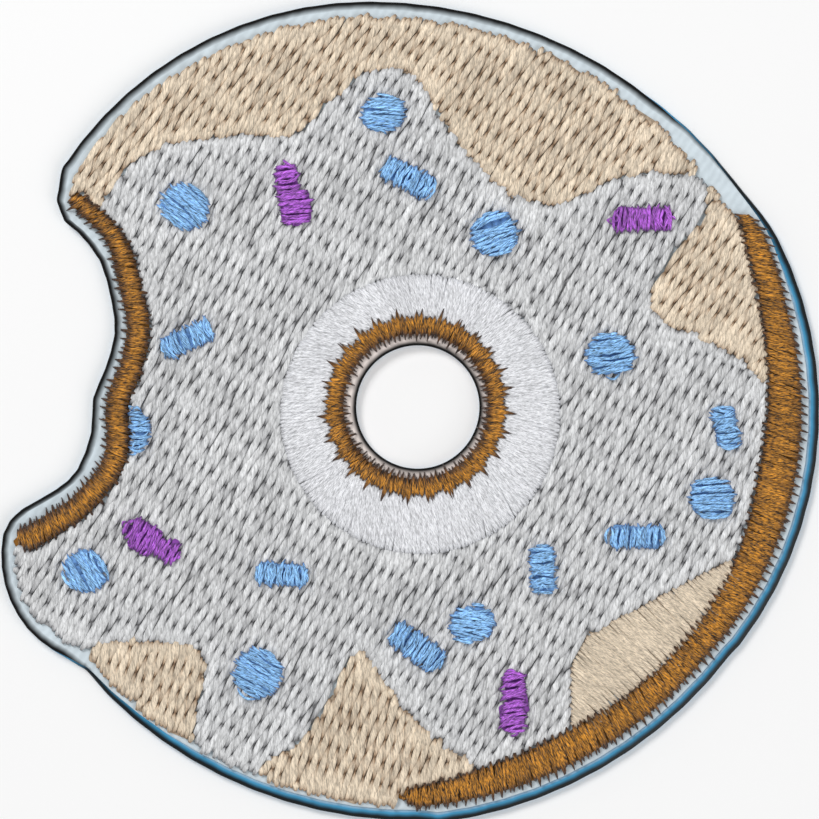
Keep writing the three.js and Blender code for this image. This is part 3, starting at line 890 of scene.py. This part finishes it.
def cloth_material():
    """Pale tightly woven cloth with a faint twill line, a painted dark line of shade along its cut
    edge and painted warm reflected light round the hole.
    """
    colours = bpy.context.scene.patch_colours
    material, tree, shader = new_material("woven_cloth")
    place = tree.place()
    turn = {"Vector": place, "Rotation": (0.0, 0.0, math.radians(35))}
    turned = tree.add("ShaderNodeMapping", turn).outputs[0]
    twill = tree.add(
        "ShaderNodeTexWave",
        {"Vector": turned, "Scale": 420.0, "Distortion": 2.5, "Detail Scale": 3.0},
        wave_type="BANDS",
        wave_profile="SIN",
    ).outputs["Fac"]
    soft = tree.noise(place, 700.0, 3.0)
    shades = tree.maths("MULTIPLY_ADD", twill, 0.4, tree.scale_range(soft, 0.3, 0.7, 0.0, 0.6))
    plain = tree.blend(shades, opaque(colours.cloth, 0.86), opaque(colours.cloth, 1.08))
    # Painted reflected light: near the hole the cloth blends to a warmer, lighter colour in place
    # of the light the brown ring throws back onto it.
    apart = tree.add("ShaderNodeVectorMath", operation="DISTANCE")
    tree.link(place, apart.inputs[0])
    apart.inputs[1].default_value = (*node_middle("hole_edge"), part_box("ground_cloth")[1].z)
    near = tree.scale_range(apart.outputs["Value"], 7.5 * MM, 8.5 * MM, 1.0, 0.0)
    plain = tree.blend(near, plain, opaque(colours.cloth_painted_bounce))
    # Painted shade: the cloth blends to a near-black colour along its cut edge, where the rounded
    # edge turns away from the light.
    inside = tree.group(edge_shade(), {"Dark": 0.20 * MM, "Plain": 0.78 * MM})["Blend"]
    relief = tree.maths("MULTIPLY_ADD", twill, 0.5, soft)
    tree.fill(
        shader,
        {
            "Base Color": tree.blend(inside, opaque(colours.cloth_painted_edge_shade), plain),
            "Roughness": tree.scale_range(soft, 0.3, 0.7, 0.75, 0.9),
            "Normal": tree.bump(relief, 0.5, 0.04 * MM),
            "Specular IOR Level": 0.15,
            "Sheen Weight": 0.05,
        },
    )
    return material


def film_material():
    """Smooth blue backing film, with a painted dark line of shade along its cut edge, and paler
    towards the cloth.
    """
    colours = bpy.context.scene.patch_colours
    material, tree, shader = new_material("blue_film")
    cloudy = tree.noise(tree.place(), 300.0, 3.0)
    shades = tree.scale_range(cloudy, 0.3, 0.7, 0.0, 1.0)
    blue = tree.blend(shades, opaque(colours.film, 0.88), opaque(colours.film, 1.12))
    paler = {"Dark": 0.70 * MM, "Plain": 1.2 * MM, "Power": 1.0}
    lip = tree.blend(tree.group(edge_shade(), paler)["Blend"], blue, opaque(colours.cloth))
    # Painted shade: the film blends to a near-black colour along its cut edge.
    inside = tree.group(edge_shade(), {"Dark": 0.26 * MM, "Plain": 0.64 * MM})["Blend"]
    tree.fill(
        shader,
        {
            "Base Color": tree.blend(inside, opaque(colours.film_painted_edge_shade), lip),
            "Roughness": tree.scale_range(cloudy, 0.3, 0.7, 0.4, 0.5),
            "Normal": tree.bump(cloudy, 0.3, 0.05 * MM),
            "Specular IOR Level": 0.3,
        },
    )
    return material


# ---- Cloth and film ----

RIM_POINTS = 1200  # points round a sheet's rim
# Steps of a sheet's top from the rim to the hole, as shares of the way: close to both at first.
TOP_STEPS = np.array([0.03, 0.1, 0.2, 0.3, 0.4, 0.5, 0.6, 0.7, 0.8, 0.9, 0.97])
# The dark lines along the cut edges, shaped by SIDE_FADE and HOLE_SHADE, are painted shade.
SIDE_FADE = 4  # how fast the dark line along a cut edge fades down its side
HOLE_SHADE = 1.4  # how much narrower the dark line is round the hole than round the rim
CLOTH_BURR = 0.16 * MM  # how far the cloth's cut edge bulges out
CLOTH_SHOULDER = 0.22 * MM  # how far below its top the cloth is widest
CLOTH_PLAIN = 5 * MM  # a distance inside its edge at which the cloth is plain
FILM_BURR = 0.30 * MM  # how far the film's cut edge bulges out
FILM_SHOULDER = 0.25 * MM  # how far below its top the film's lip is widest
FILM_PLAIN = 0.67 * MM  # the distance inside its edge at which the film is plain blue
FULL_LIP = 0.6 * MM  # how far past the cloth the film lies where its lip stands up fully
LIP_RISE = 0.66  # how high the lip stands beside the cloth, as a share of its thickness


def loop_round_hole(node, inner):
    """The outer outline of a flat node, or its hole, in order round the hole."""
    middle = node_middle("hole_edge")
    low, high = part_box("hole_edge")
    places = outline(node).reshape(-1, 2)
    out = places - middle
    within = np.hypot(out[:, 0], out[:, 1]) < (high.x - low.x) / 2
    places, out = places[within == inner], out[within == inner]
    order = np.argsort(np.arctan2(out[:, 1], out[:, 0]))
    places = places[order]
    apart = np.linalg.norm(places - np.roll(places, 1, axis=0), axis=1) > 0.02 * MM
    return places[apart]


def smooth_loop(points, count):
    """Evenly spaced points on a smooth closed curve through the given ones.

    Between two neighbours the curve is a cubic. Its slope at each point is that of the line
    from the point before to the point after.
    """
    following, before = np.roll(points, -1, axis=0), np.roll(points, 1, axis=0)
    chord = np.linalg.norm(following - points, axis=1)
    slope = (following - before) / (chord + np.roll(chord, 1))[:, None]
    mark = np.append(0, np.cumsum(chord))
    place = np.linspace(0, mark[-1], count, endpoint=False)
    k = np.searchsorted(mark, place, side="right") - 1
    t = ((place - mark[k]) / chord[k])[:, None]
    after = (k + 1) % len(points)
    pull, pull_after = slope[k] * chord[k, None], slope[after] * chord[k, None]
    return (
        (2 * t**3 - 3 * t**2 + 1) * points[k]
        + (t**3 - 2 * t**2 + t) * pull
        + (3 * t**2 - 2 * t**3) * points[after]
        + (t**3 - t**2) * pull_after
    )


def rim_loop(node):
    """The rim of a sheet as a smooth loop."""
    return smooth_loop(loop_round_hole(node, inner=False), RIM_POINTS)


def round_hole(node):
    """The middle and the radius of a sheet's hole."""
    hole = loop_round_hole(node, inner=True)
    middle = hole.mean(0)
    return middle, np.linalg.norm(hole - middle, axis=1).max()


def inward(loop):
    """The direction square to an anticlockwise loop at each of its points, towards its inside."""
    along = np.roll(loop, -1, axis=0) - np.roll(loop, 1, axis=0)
    return leftward(along / np.linalg.norm(along, axis=1)[:, None])


def reach_past(loop, other):
    """How far a loop lies outside another one, square to it at the other's nearest point."""
    gap = loop[:, None] - other[None, ::4]
    nearest = np.argmin((gap**2).sum(2), axis=1)
    square = inward(other)[::4][nearest]
    return -(gap[np.arange(len(loop)), nearest] * square).sum(1)


def round_profile(low, high, widest, inset_low, inset_high, steps):
    """A rounded edge from its lowest to its highest point: inset, height and shade of each step.

    The lower and the upper part are quarters of ellipses that meet at the widest point. The
    shade is the inset, and grows fast below the widest point, so that the side is plain.
    """
    turn = np.linspace(-math.pi / 2, math.pi / 2, steps)
    inset = np.where(turn < 0, inset_low, inset_high) * (1 - np.cos(turn))
    height = widest + np.where(turn < 0, widest - low, high - widest) * np.sin(turn)
    shade = inset + SIDE_FADE * np.maximum(widest - height, 0)
    return np.stack(np.broadcast_arrays(inset, height, shade), axis=-1)


def lip_profile(past):
    """The film's rim for each point of it, given how far that point lies past the cloth.

    Where the film lies past the cloth it turns up beside it, and elsewhere it lies flat and
    looks plain. The last step leads back down from the lip to the film's flat top.
    """
    low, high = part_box("backing_film")
    cloth_low, cloth_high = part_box("ground_cloth")
    shows = np.clip(past[:, None] / FULL_LIP, 0, 1)
    shows = shows * shows * (3 - 2 * shows)
    top = high.z + shows * (cloth_low.z + LIP_RISE * (cloth_high.z - cloth_low.z) - high.z)
    middle = (low.z + high.z) / 2
    widest = middle + shows * (top - FILM_SHOULDER - middle)
    steps = 12
    lip = round_profile(low.z, top, widest, 0.12 * MM, 0.8 * MM * shows + 0.1 * MM, steps)
    lower = lip[:, : steps // 2, 2]
    np.minimum(lower, FILM_PLAIN, out=lower)
    tucked = np.maximum(1 - 3 * shows, 0)
    lip[..., 2] += tucked * (FILM_PLAIN - lip[..., 2])
    under = lip[:, -1:] + [0.4 * MM, 0, 0.4 * MM]
    under[..., 1] = high.z
    return np.concatenate([lip, under], axis=1)


def slab_sections(rim, hole, rim_profile, hole_profile, top, bottom, burr, plain):
    """Sections of a flat ring from the rim to the hole, one for each point of the rim, and the
    shade of each point. The cut edges bulge out by the burr.

    A section goes up round the rim, over the top to the hole, down round the hole, and back
    underneath. Profiles hold inset, height and shade for each step, and may depend on the
    section. On top the shade is the distance inside the nearer edge, and underneath it is plain.
    """
    middle, radius = hole
    away = rim - middle
    outwards = unit(np.arctan2(away[:, 1], away[:, 0]))
    hole_edge = middle + radius * outwards
    rim_part = rim[:, None] + (rim_profile[..., :1] - burr) * inward(rim)[:, None]
    hole_part = hole_edge[:, None] + (hole_profile[..., :1] - burr) * outwards[:, None]

    def across(first, last, height):
        flat = first[:, None] + TOP_STEPS[:, None] * (last - first)[:, None]
        return np.concatenate([flat, np.full((*flat.shape[:2], 1), height)], axis=2)

    def raised(part, profile):
        heights = np.broadcast_to(profile[..., 1:2], (*part.shape[:2], 1))
        return np.concatenate([part, heights], axis=2)

    sections = [
        raised(rim_part, rim_profile),
        across(rim_part[:, -1], hole_part[:, 0], top),
        raised(hole_part, hole_profile),
        across(hole_part[:, -1], rim_part[:, 0], bottom),
    ]
    gap = np.linalg.norm(hole_part[:, 0] - rim_part[:, -1], axis=1)[:, None]
    from_rim = rim_profile[..., -1:, 2] + TOP_STEPS * gap
    from_hole = hole_profile[..., :1, 2] + (1 - TOP_STEPS) * gap
    shades = [rim_profile[..., 2], np.minimum(from_rim, from_hole), hole_profile[..., 2], plain]
    shades = [
        np.broadcast_to(shade, part.shape[:2]) for shade, part in zip(shades, sections)
    ]
    return np.concatenate(sections, axis=1), np.concatenate(shades, axis=1)


class PATCH_OT_ground_cloth(bpy.types.Operator):
    """Lay the pale ground cloth with its rounded edge"""

    bl_idname = "patch.ground_cloth"
    bl_label = "Ground cloth"

    def execute(self, context):
        low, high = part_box("ground_cloth")
        rim, hole = rim_loop("ground_cloth"), round_hole("ground_cloth")
        widest = high.z - CLOTH_SHOULDER
        profile = round_profile(low.z, high.z, widest, 0.18 * MM, 0.42 * MM, 11)
        rim_profile = np.repeat(profile[None], RIM_POINTS, axis=0)
        past = np.clip(reach_past(rim, rim_loop("backing_film")), -MM, 0)
        rim_profile[..., 2] -= 3 * past[:, None]
        hole_profile = profile[None, ::-1] * [1, 1, HOLE_SHADE]
        sections, shade = slab_sections(
            rim, hole, rim_profile, hole_profile, high.z, low.z, CLOTH_BURR, CLOTH_PLAIN
        )
        piece = make_piece(
            "ground_cloth_sheet",
            ring_arrays(sections, shade),
            cloth_material(),
            ["ground_cloth"],
        )
        return {"FINISHED"}


class PATCH_OT_backing_film(bpy.types.Operator):
    """Lay the blue backing film, whose lip turns up round the cloth where it shows"""

    bl_idname = "patch.backing_film"
    bl_label = "Backing film"

    def execute(self, context):
        low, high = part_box("backing_film")
        rim, hole = rim_loop("backing_film"), round_hole("backing_film")
        lip = lip_profile(reach_past(rim, rim_loop("ground_cloth")))
        widest = (low.z + high.z) / 2
        hole_profile = round_profile(low.z, high.z, widest, 0.1 * MM, 0.1 * MM, 7)
        hole_profile[:, 2] = FILM_PLAIN
        sections, shade = slab_sections(
            rim, hole, lip, hole_profile[None, ::-1], high.z, low.z, FILM_BURR, FILM_PLAIN
        )
        make_piece(
            "backing_film_sheet",
            ring_arrays(sections, shade),
            film_material(),
            ["backing_film"],
        )
        return {"FINISHED"}


# ---- Filled fields ----

NEEDLE_DEPTH = 0.26 * MM  # how far below a field's top its needle holes lie
UNDERLAY_PITCH = 0.9 * MM


def field_threads(node, turn, sizes, chance):
    """The rows of running stitch over one field."""
    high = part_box(node)[1]
    starts, ends, dives = running_stitches(outline(node), turn, sizes, chance)
    return thread_arrays(
        starts, ends, [high.z - NEEDLE_DEPTH] * 2, high.z, sizes.fill_width, sizes.fill_height,
        dives, chance, (ROW_SHAPE, ROW_SHAPE),
    )


def flat_threads(node, lines, spans, chance, width, height, rise, dive):
    """Flat threads along spans of lines, given as line, first and last place. Width is a share
    of the underlay's pitch. Height, the rise of their tops over the node's underside and the
    dive at their ends are in millimetres."""
    line, first, last = spans
    starts, ends = places_along(lines, line, first), places_along(lines, line, last)
    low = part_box(node)[0].z
    return thread_arrays(
        starts, ends, [low] * 2, low + rise * MM, width * UNDERLAY_PITCH, height * MM,
        np.full((len(starts), 2), dive * MM), chance, sway=0,
    )


def underlay_threads(node, turn, chance, inset=0.0):
    """Flat rows across a field's own rows, which close the ground between its stitches."""
    edges = outline(node)
    lines = parallel_lines(edges, turn + math.pi / 2, UNDERLAY_PITCH)
    line, first, last = stretches(edges, *lines)
    wide = last - first > 0.5 * MM
    spans = line[wide], first[wide] + inset, last[wide] - inset
    return flat_threads(
        node, lines, spans, chance, width=1.3, height=0.14, rise=0.14, dive=0.3
    )


def spoke_underlay(node, middle, chance, inset):
    """Flat threads on the spokes of a column that bends round a middle."""
    edges = outline(node)
    lines = spoke_lines(edges, middle, UNDERLAY_PITCH, [(-180, 0), (180, 0)])
    line, first, last = own_stretches(edges, lines)
    first, last = first + inset, last - inset
    wide = last - first > 0.2 * MM
    spans = line[wide], first[wide], last[wide]
    return flat_threads(
        node, lines, spans, chance, width=1.6, height=0.28, rise=0.3, dive=0.2
    )


class PATCH_OT_glaze(bpy.types.Operator):
    """Fill the glaze with rows of grey running stitch"""

    bl_idname = "patch.glaze"
    bl_label = "Glaze"

    def execute(self, context):
        sizes, turn = context.scene.patch_stitches, context.scene.patch_directions.glaze
        chance = np.random.default_rng(SEED)
        stitch("glaze_stitches", "glaze", ["glaze"], [field_threads("glaze", turn, sizes, chance)])
        underlay("glaze_underlay", "glaze", [underlay_threads("glaze", turn, chance)])
        return {"FINISHED"}


class PATCH_OT_dough(bpy.types.Operator):
    """Fill the dough's fields with rows of tan running stitch"""

    bl_idname = "patch.dough"
    bl_label = "Dough"

    def execute(self, context):
        sizes, turns = context.scene.patch_stitches, context.scene.patch_directions
        chance = np.random.default_rng(SEED + 1)
        flats = []
        for node in ("dough_top", "dough_right", "dough_bottom", "dough_left"):
            turn = getattr(turns, node)
            parts = [field_threads(node, turn, sizes, chance)]
            stitch(f"{node}_stitches", "dough", [node], parts)
            flats.append(underlay_threads(node, turn, chance))
        flats.append(underlay_threads("dough_shade", turns.dough_shade, chance))
        underlay("dough_underlay", "dough", flats)
        return {"FINISHED"}


# ---- Satin ----

# The two sides of each satin area, as satin_stitches takes them but in millimetres.
DOUGH_SIDES = ((0.3, 0.5, 0.1, 1, 0.2), (1.05, 0.74, 0.6, 1.8, 0.2))
WHITE_SIDES = ((1.0, 0.5, 0.0, 1, 0.2), (0.35, 0.8, 0.0, 1, 0.2))
HOLE_SIDES = ((0.48, 0.6, 0.24, 1.3, 0.7), (0.66, 0.52, 0.46, 2.6, 0.05))
BITE_SIDES = ((0.4, 0.68, 0.28, 1.3, 0.75), (0.36, 0.65, 0.26, 1.3, 0.6))
SHADE_SIDES = ((0.4, 0.8, 0.34, 1.4, 0.3), (0.42, 0.84, 0.3, 1.1, 0.5))
SPRINKLE_SIDES = ((0.2, 0.5, 0.2, 1.2, 0.25),) * 2
# How the threads of each column are turned from its spokes, as spoke_lines takes it.
WHITE_SKEW = [
    (-180, 0), (-150, -10), (-120, 8), (-90, 0), (-60, -20), (-30, -17), (0, -17), (30, -24),
    (60, -8), (90, 2), (120, 12), (150, 10), (180, 0),
]
HOLE_SKEW = [(-180, -4), (180, -4)]
BITE_SKEW = [(-90, -26), (-40, -22), (-20, 2), (0, -15), (25, -28), (60, -24)]
SHADE_SKEW = [(-95, -6), (-60, -6), (-30, -4), (-10, -10), (0, -20), (12, -32), (30, -44)]


def satin_threads(
    node, lines, pitch, sides, sizes, chance, shapes=(SATIN_SHAPE,) * 2, stray=0.2, width=1.0,
    sway=0.1, uneven=0.2, lift=0.0, far_height=None,
):
    """The satin threads over one node. Sides and shapes are given first for where the threads
    start and then for where they end. Width is a share of the common one, lift raises the whole,
    and far height is that of the far ends when something lies under them."""
    low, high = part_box(node)
    near_far = [np.multiply(side, (MM, MM, MM, 1, MM)) for side in sides]
    starts, ends, tapers = satin_stitches(outline(node), lines, pitch, near_far, stray, chance)
    bottom = low.z + 0.03 * MM
    lows = [bottom, bottom if far_height is None else far_height]
    return thread_arrays(
        starts, ends, lows, high.z + lift, width * sizes.satin_width, sizes.satin_height,
        tapers, chance, shapes, 0.06 * MM, sway, uneven,
    )


class PATCH_OT_dough_satin(bpy.types.Operator):
    """Lay the long tan satin threads between the glaze and the browned column"""

    bl_idname = "patch.dough_satin"
    bl_label = "Shaded dough"

    def execute(self, context):
        sizes, turns = context.scene.patch_stitches, context.scene.patch_directions
        chance = np.random.default_rng(SEED + 2)
        pitch = sizes.satin_pitch
        lines = centred_lines(outline("dough_shade"), turns.dough_shade + math.pi, pitch)
        threads = satin_threads(
            "dough_shade", lines, pitch, DOUGH_SIDES, sizes, chance,
            shapes=(SATIN_SHAPE, FRINGE_SHAPE), width=1.15, uneven=0.1,
            far_height=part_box("shade_band")[1].z - 0.04 * MM,
        )
        stitch("dough_shade_satin", "dough", ["dough_shade"], [threads], satin=True)
        return {"FINISHED"}


class PATCH_OT_white_ring(bpy.types.Operator):
    """Lay the white satin ring round the hole"""

    bl_idname = "patch.white_ring"
    bl_label = "White ring"

    def execute(self, context):
        sizes = context.scene.patch_stitches
        chance = np.random.default_rng(SEED + 3)
        pitch, middle = 0.8 * sizes.satin_pitch, node_middle("hole_edge")
        lines = spoke_lines(outline("inner_ring"), middle, pitch, WHITE_SKEW)
        threads = satin_threads(
            "inner_ring", lines, pitch, WHITE_SIDES, sizes, chance,
            shapes=(SOFT_SHAPE, SOFT_SHAPE), width=1.25, stray=0.3, uneven=0.1,
        )
        stitch("white_ring_satin", "white", ["inner_ring"], [threads], satin=True)
        flat = spoke_underlay("inner_ring", middle, chance, -0.1 * MM)
        underlay("white_underlay", "white", [flat])
        return {"FINISHED"}


class PATCH_OT_brown_edges(bpy.types.Operator):
    """Lay the brown satin columns round the hole, along the bite and down the right side"""

    bl_idname = "patch.brown_edges"
    bl_label = "Browned edges"

    def execute(self, context):
        sizes = context.scene.patch_stitches
        chance = np.random.default_rng(SEED + 4)
        on_white = {
            "shapes": (TOOTH_SHAPE, SPIKE_SHAPE),
            "lift": 0.14 * MM,
            "far_height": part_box("inner_ring")[1].z - 0.02 * MM,
        }
        on_cloth = {"shapes": (TOOTH_SHAPE, TOOTH_SHAPE)}
        columns = {
            "hole_edge": (node_middle("hole_edge"), HOLE_SKEW, HOLE_SIDES, on_white),
            "bite_edge": (np.array([-45.0, 4.0]) * MM, BITE_SKEW, BITE_SIDES, on_cloth),
            "shade_band": (np.array([0.3, 0.8]) * MM, SHADE_SKEW, SHADE_SIDES, on_cloth),
        }
        pitch = sizes.satin_pitch
        flats = []
        for node, (middle, skew, sides, ways) in columns.items():
            lines = spoke_lines(outline(node), middle, pitch, skew)
            threads = satin_threads(node, lines, pitch, sides, sizes, chance, **ways)
            stitch(f"{node}_satin", "brown", [node], [threads], satin=True)
            flats.append(spoke_underlay(node, middle, chance, 0.05 * MM))
        underlay("brown_underlay", "brown", flats)
        return {"FINISHED"}


# ---- Sprinkles ----

# The direction of each sprinkle's threads in degrees.
DOT_TURNS = {
    "dot_1": 175, "dot_2": 138, "dot_3": 20, "dot_4": 7, "dot_5": 2, "dot_6": 120, "dot_7": 170,
    "dot_8": 146, "dot_half": 179,
}
BAR_TURNS = {
    "bar_1": 60, "bar_2": 112, "bar_3": 5, "bar_4": 84, "bar_5": 4, "bar_6": 84, "bar_7": 57,
}
PURPLE_TURNS = {"purple_1": 6, "purple_2": 85, "purple_3": 60, "purple_4": 10}


def sew_sprinkles(context, kind, colour_name, turns, chance):
    """The two pieces of a group of sprinkles. Their satin threads lie loosely, so some cross
    their neighbours, and their underlay lies across them."""
    sizes = context.scene.patch_stitches
    pitch = 0.8 * sizes.satin_pitch
    turns = {node: math.radians(turn) for node, turn in turns.items()}
    parts = [
        satin_threads(
            node, centred_lines(outline(node), turn, pitch), pitch, SPRINKLE_SIDES, sizes, chance,
            width=0.86, stray=0.7, sway=0.9, uneven=0.3,
        )
        for node, turn in turns.items()
    ]
    stitch(f"{kind}_sprinkles", colour_name, list(turns), parts, satin=True)
    flats = [underlay_threads(node, turn, chance, 0.1 * MM) for node, turn in turns.items()]
    underlay(f"{kind}_underlay", colour_name, flats)


class PATCH_OT_round_sprinkles(bpy.types.Operator):
    """Sew the round blue sprinkles"""

    bl_idname = "patch.round_sprinkles"
    bl_label = "Round sprinkles"

    def execute(self, context):
        sew_sprinkles(context, "round", "blue", DOT_TURNS, np.random.default_rng(SEED + 5))
        return {"FINISHED"}


class PATCH_OT_straight_sprinkles(bpy.types.Operator):
    """Sew the straight blue sprinkles"""

    bl_idname = "patch.straight_sprinkles"
    bl_label = "Straight sprinkles"

    def execute(self, context):
        sew_sprinkles(context, "straight", "blue", BAR_TURNS, np.random.default_rng(SEED + 6))
        return {"FINISHED"}


class PATCH_OT_purple_sprinkles(bpy.types.Operator):
    """Sew the purple sprinkles"""

    bl_idname = "patch.purple_sprinkles"
    bl_label = "Purple sprinkles"

    def execute(self, context):
        sew_sprinkles(context, "purple", "purple", PURPLE_TURNS, np.random.default_rng(SEED + 7))
        return {"FINISHED"}


# ---- Stage ----

FLOOR_HALF_WIDTH = 1.5


def add_lamp(name, power, size, place):
    """A square soft lamp that shines on the middle of the patch."""
    light = bpy.data.lights.new(name, "AREA")
    light.energy = power
    light.shape = "SQUARE"
    light.size = size
    lamp = bpy.data.objects.new(name, light)
    bpy.context.scene.collection.objects.link(lamp)
    x, y, z = place
    lamp.location = place
    lamp.rotation_euler = (math.atan2(math.hypot(x, y), z), 0.0, math.atan2(y, x) + math.pi / 2)


class PATCH_OT_stage(bpy.types.Operator):
    """Set up the floor, the lights and the camera"""

    bl_idname = "patch.stage"
    bl_label = "Stage"

    def execute(self, context):
        scene = context.scene
        stage = scene.patch_stage
        corners = np.array([[-1, -1], [1, -1], [1, 1], [-1, 1]]) * FLOOR_HALF_WIDTH
        points = np.hstack([corners, np.full((4, 1), CAD_BOX[0][2])])
        mesh = bpy.data.meshes.new("floor")
        mesh.from_pydata(points.tolist(), [], [[0, 1, 2, 3]])
        material, tree, shader = new_material("floor_paper")
        tree.fill(shader, {"Base Color": opaque(scene.patch_colours.floor), "Roughness": 0.9})
        mesh.materials.append(material)
        floor = bpy.data.objects.new("floor", mesh)
        scene.collection.objects.link(floor)

        add_lamp("key_lamp", stage.key, 0.25, (-0.30, 0.34, 0.50))
        add_lamp("fill_lamp", stage.fill, 0.5, (0.40, -0.30, 0.45))
        world = bpy.data.worlds.new("studio")
        world.use_nodes = True
        background = world.node_tree.nodes["Background"]
        background.inputs["Color"].default_value = (1, 1, 1, 1)
        background.inputs["Strength"].default_value = stage.sky
        scene.world = world
        scene.view_settings.view_transform = "Standard"

        camera = bpy.data.objects.new("camera", bpy.data.cameras.new("camera"))
        camera.data.lens = stage.lens
        middle = (np.array(CAD_BOX[0]) + np.array(CAD_BOX[1])) / 2
        distance = stage.view_width * stage.lens / camera.data.sensor_width
        camera.location = (middle[0], middle[1] + stage.view_rise, middle[2] + distance)
        camera.data.clip_start = 0.01
        scene.collection.objects.link(camera)
        scene.camera = camera
        return {"FINISHED"}


# ---- Add-on ----

STEPS = (
    PATCH_OT_backing_film,
    PATCH_OT_ground_cloth,
    PATCH_OT_dough,
    PATCH_OT_dough_satin,
    PATCH_OT_glaze,
    PATCH_OT_white_ring,
    PATCH_OT_brown_edges,
    PATCH_OT_round_sprinkles,
    PATCH_OT_straight_sprinkles,
    PATCH_OT_purple_sprinkles,
    PATCH_OT_stage,
)


class PATCH_PT_panel(bpy.types.Panel):
    """Sizes, colours and steps of the patch"""

    bl_idname = "PATCH_PT_panel"
    bl_label = "Bitten doughnut patch"
    bl_space_type = "VIEW_3D"
    bl_region_type = "UI"
    bl_category = "Patch"

    def draw(self, context):
        for name in GROUPS:
            box = self.layout.box()
            group = getattr(context.scene, name)
            for key in group.bl_rna.properties.keys():
                if key not in ("rna_type", "name"):
                    box.prop(group, key)
        for step in STEPS:
            self.layout.operator(step.bl_idname)


GROUPS = {
    "patch_stitches": PatchStitches,
    "patch_directions": PatchDirections,
    "patch_colours": PatchColours,
    "patch_stage": PatchStage,
}
CLASSES = (*GROUPS.values(), *STEPS, PATCH_PT_panel)


def register():
    for item in CLASSES:
        bpy.utils.register_class(item)
    for name, group in GROUPS.items():
        setattr(bpy.types.Scene, name, bpy.props.PointerProperty(type=group))


def unregister():
    for name in GROUPS:
        delattr(bpy.types.Scene, name)
    for item in reversed(CLASSES):
        bpy.utils.unregister_class(item)


def main():
    register()
    for step in STEPS:
        family, name = step.bl_idname.split(".")
        getattr(getattr(bpy.ops, family), name)()


if __name__ == "__main__":
    main()
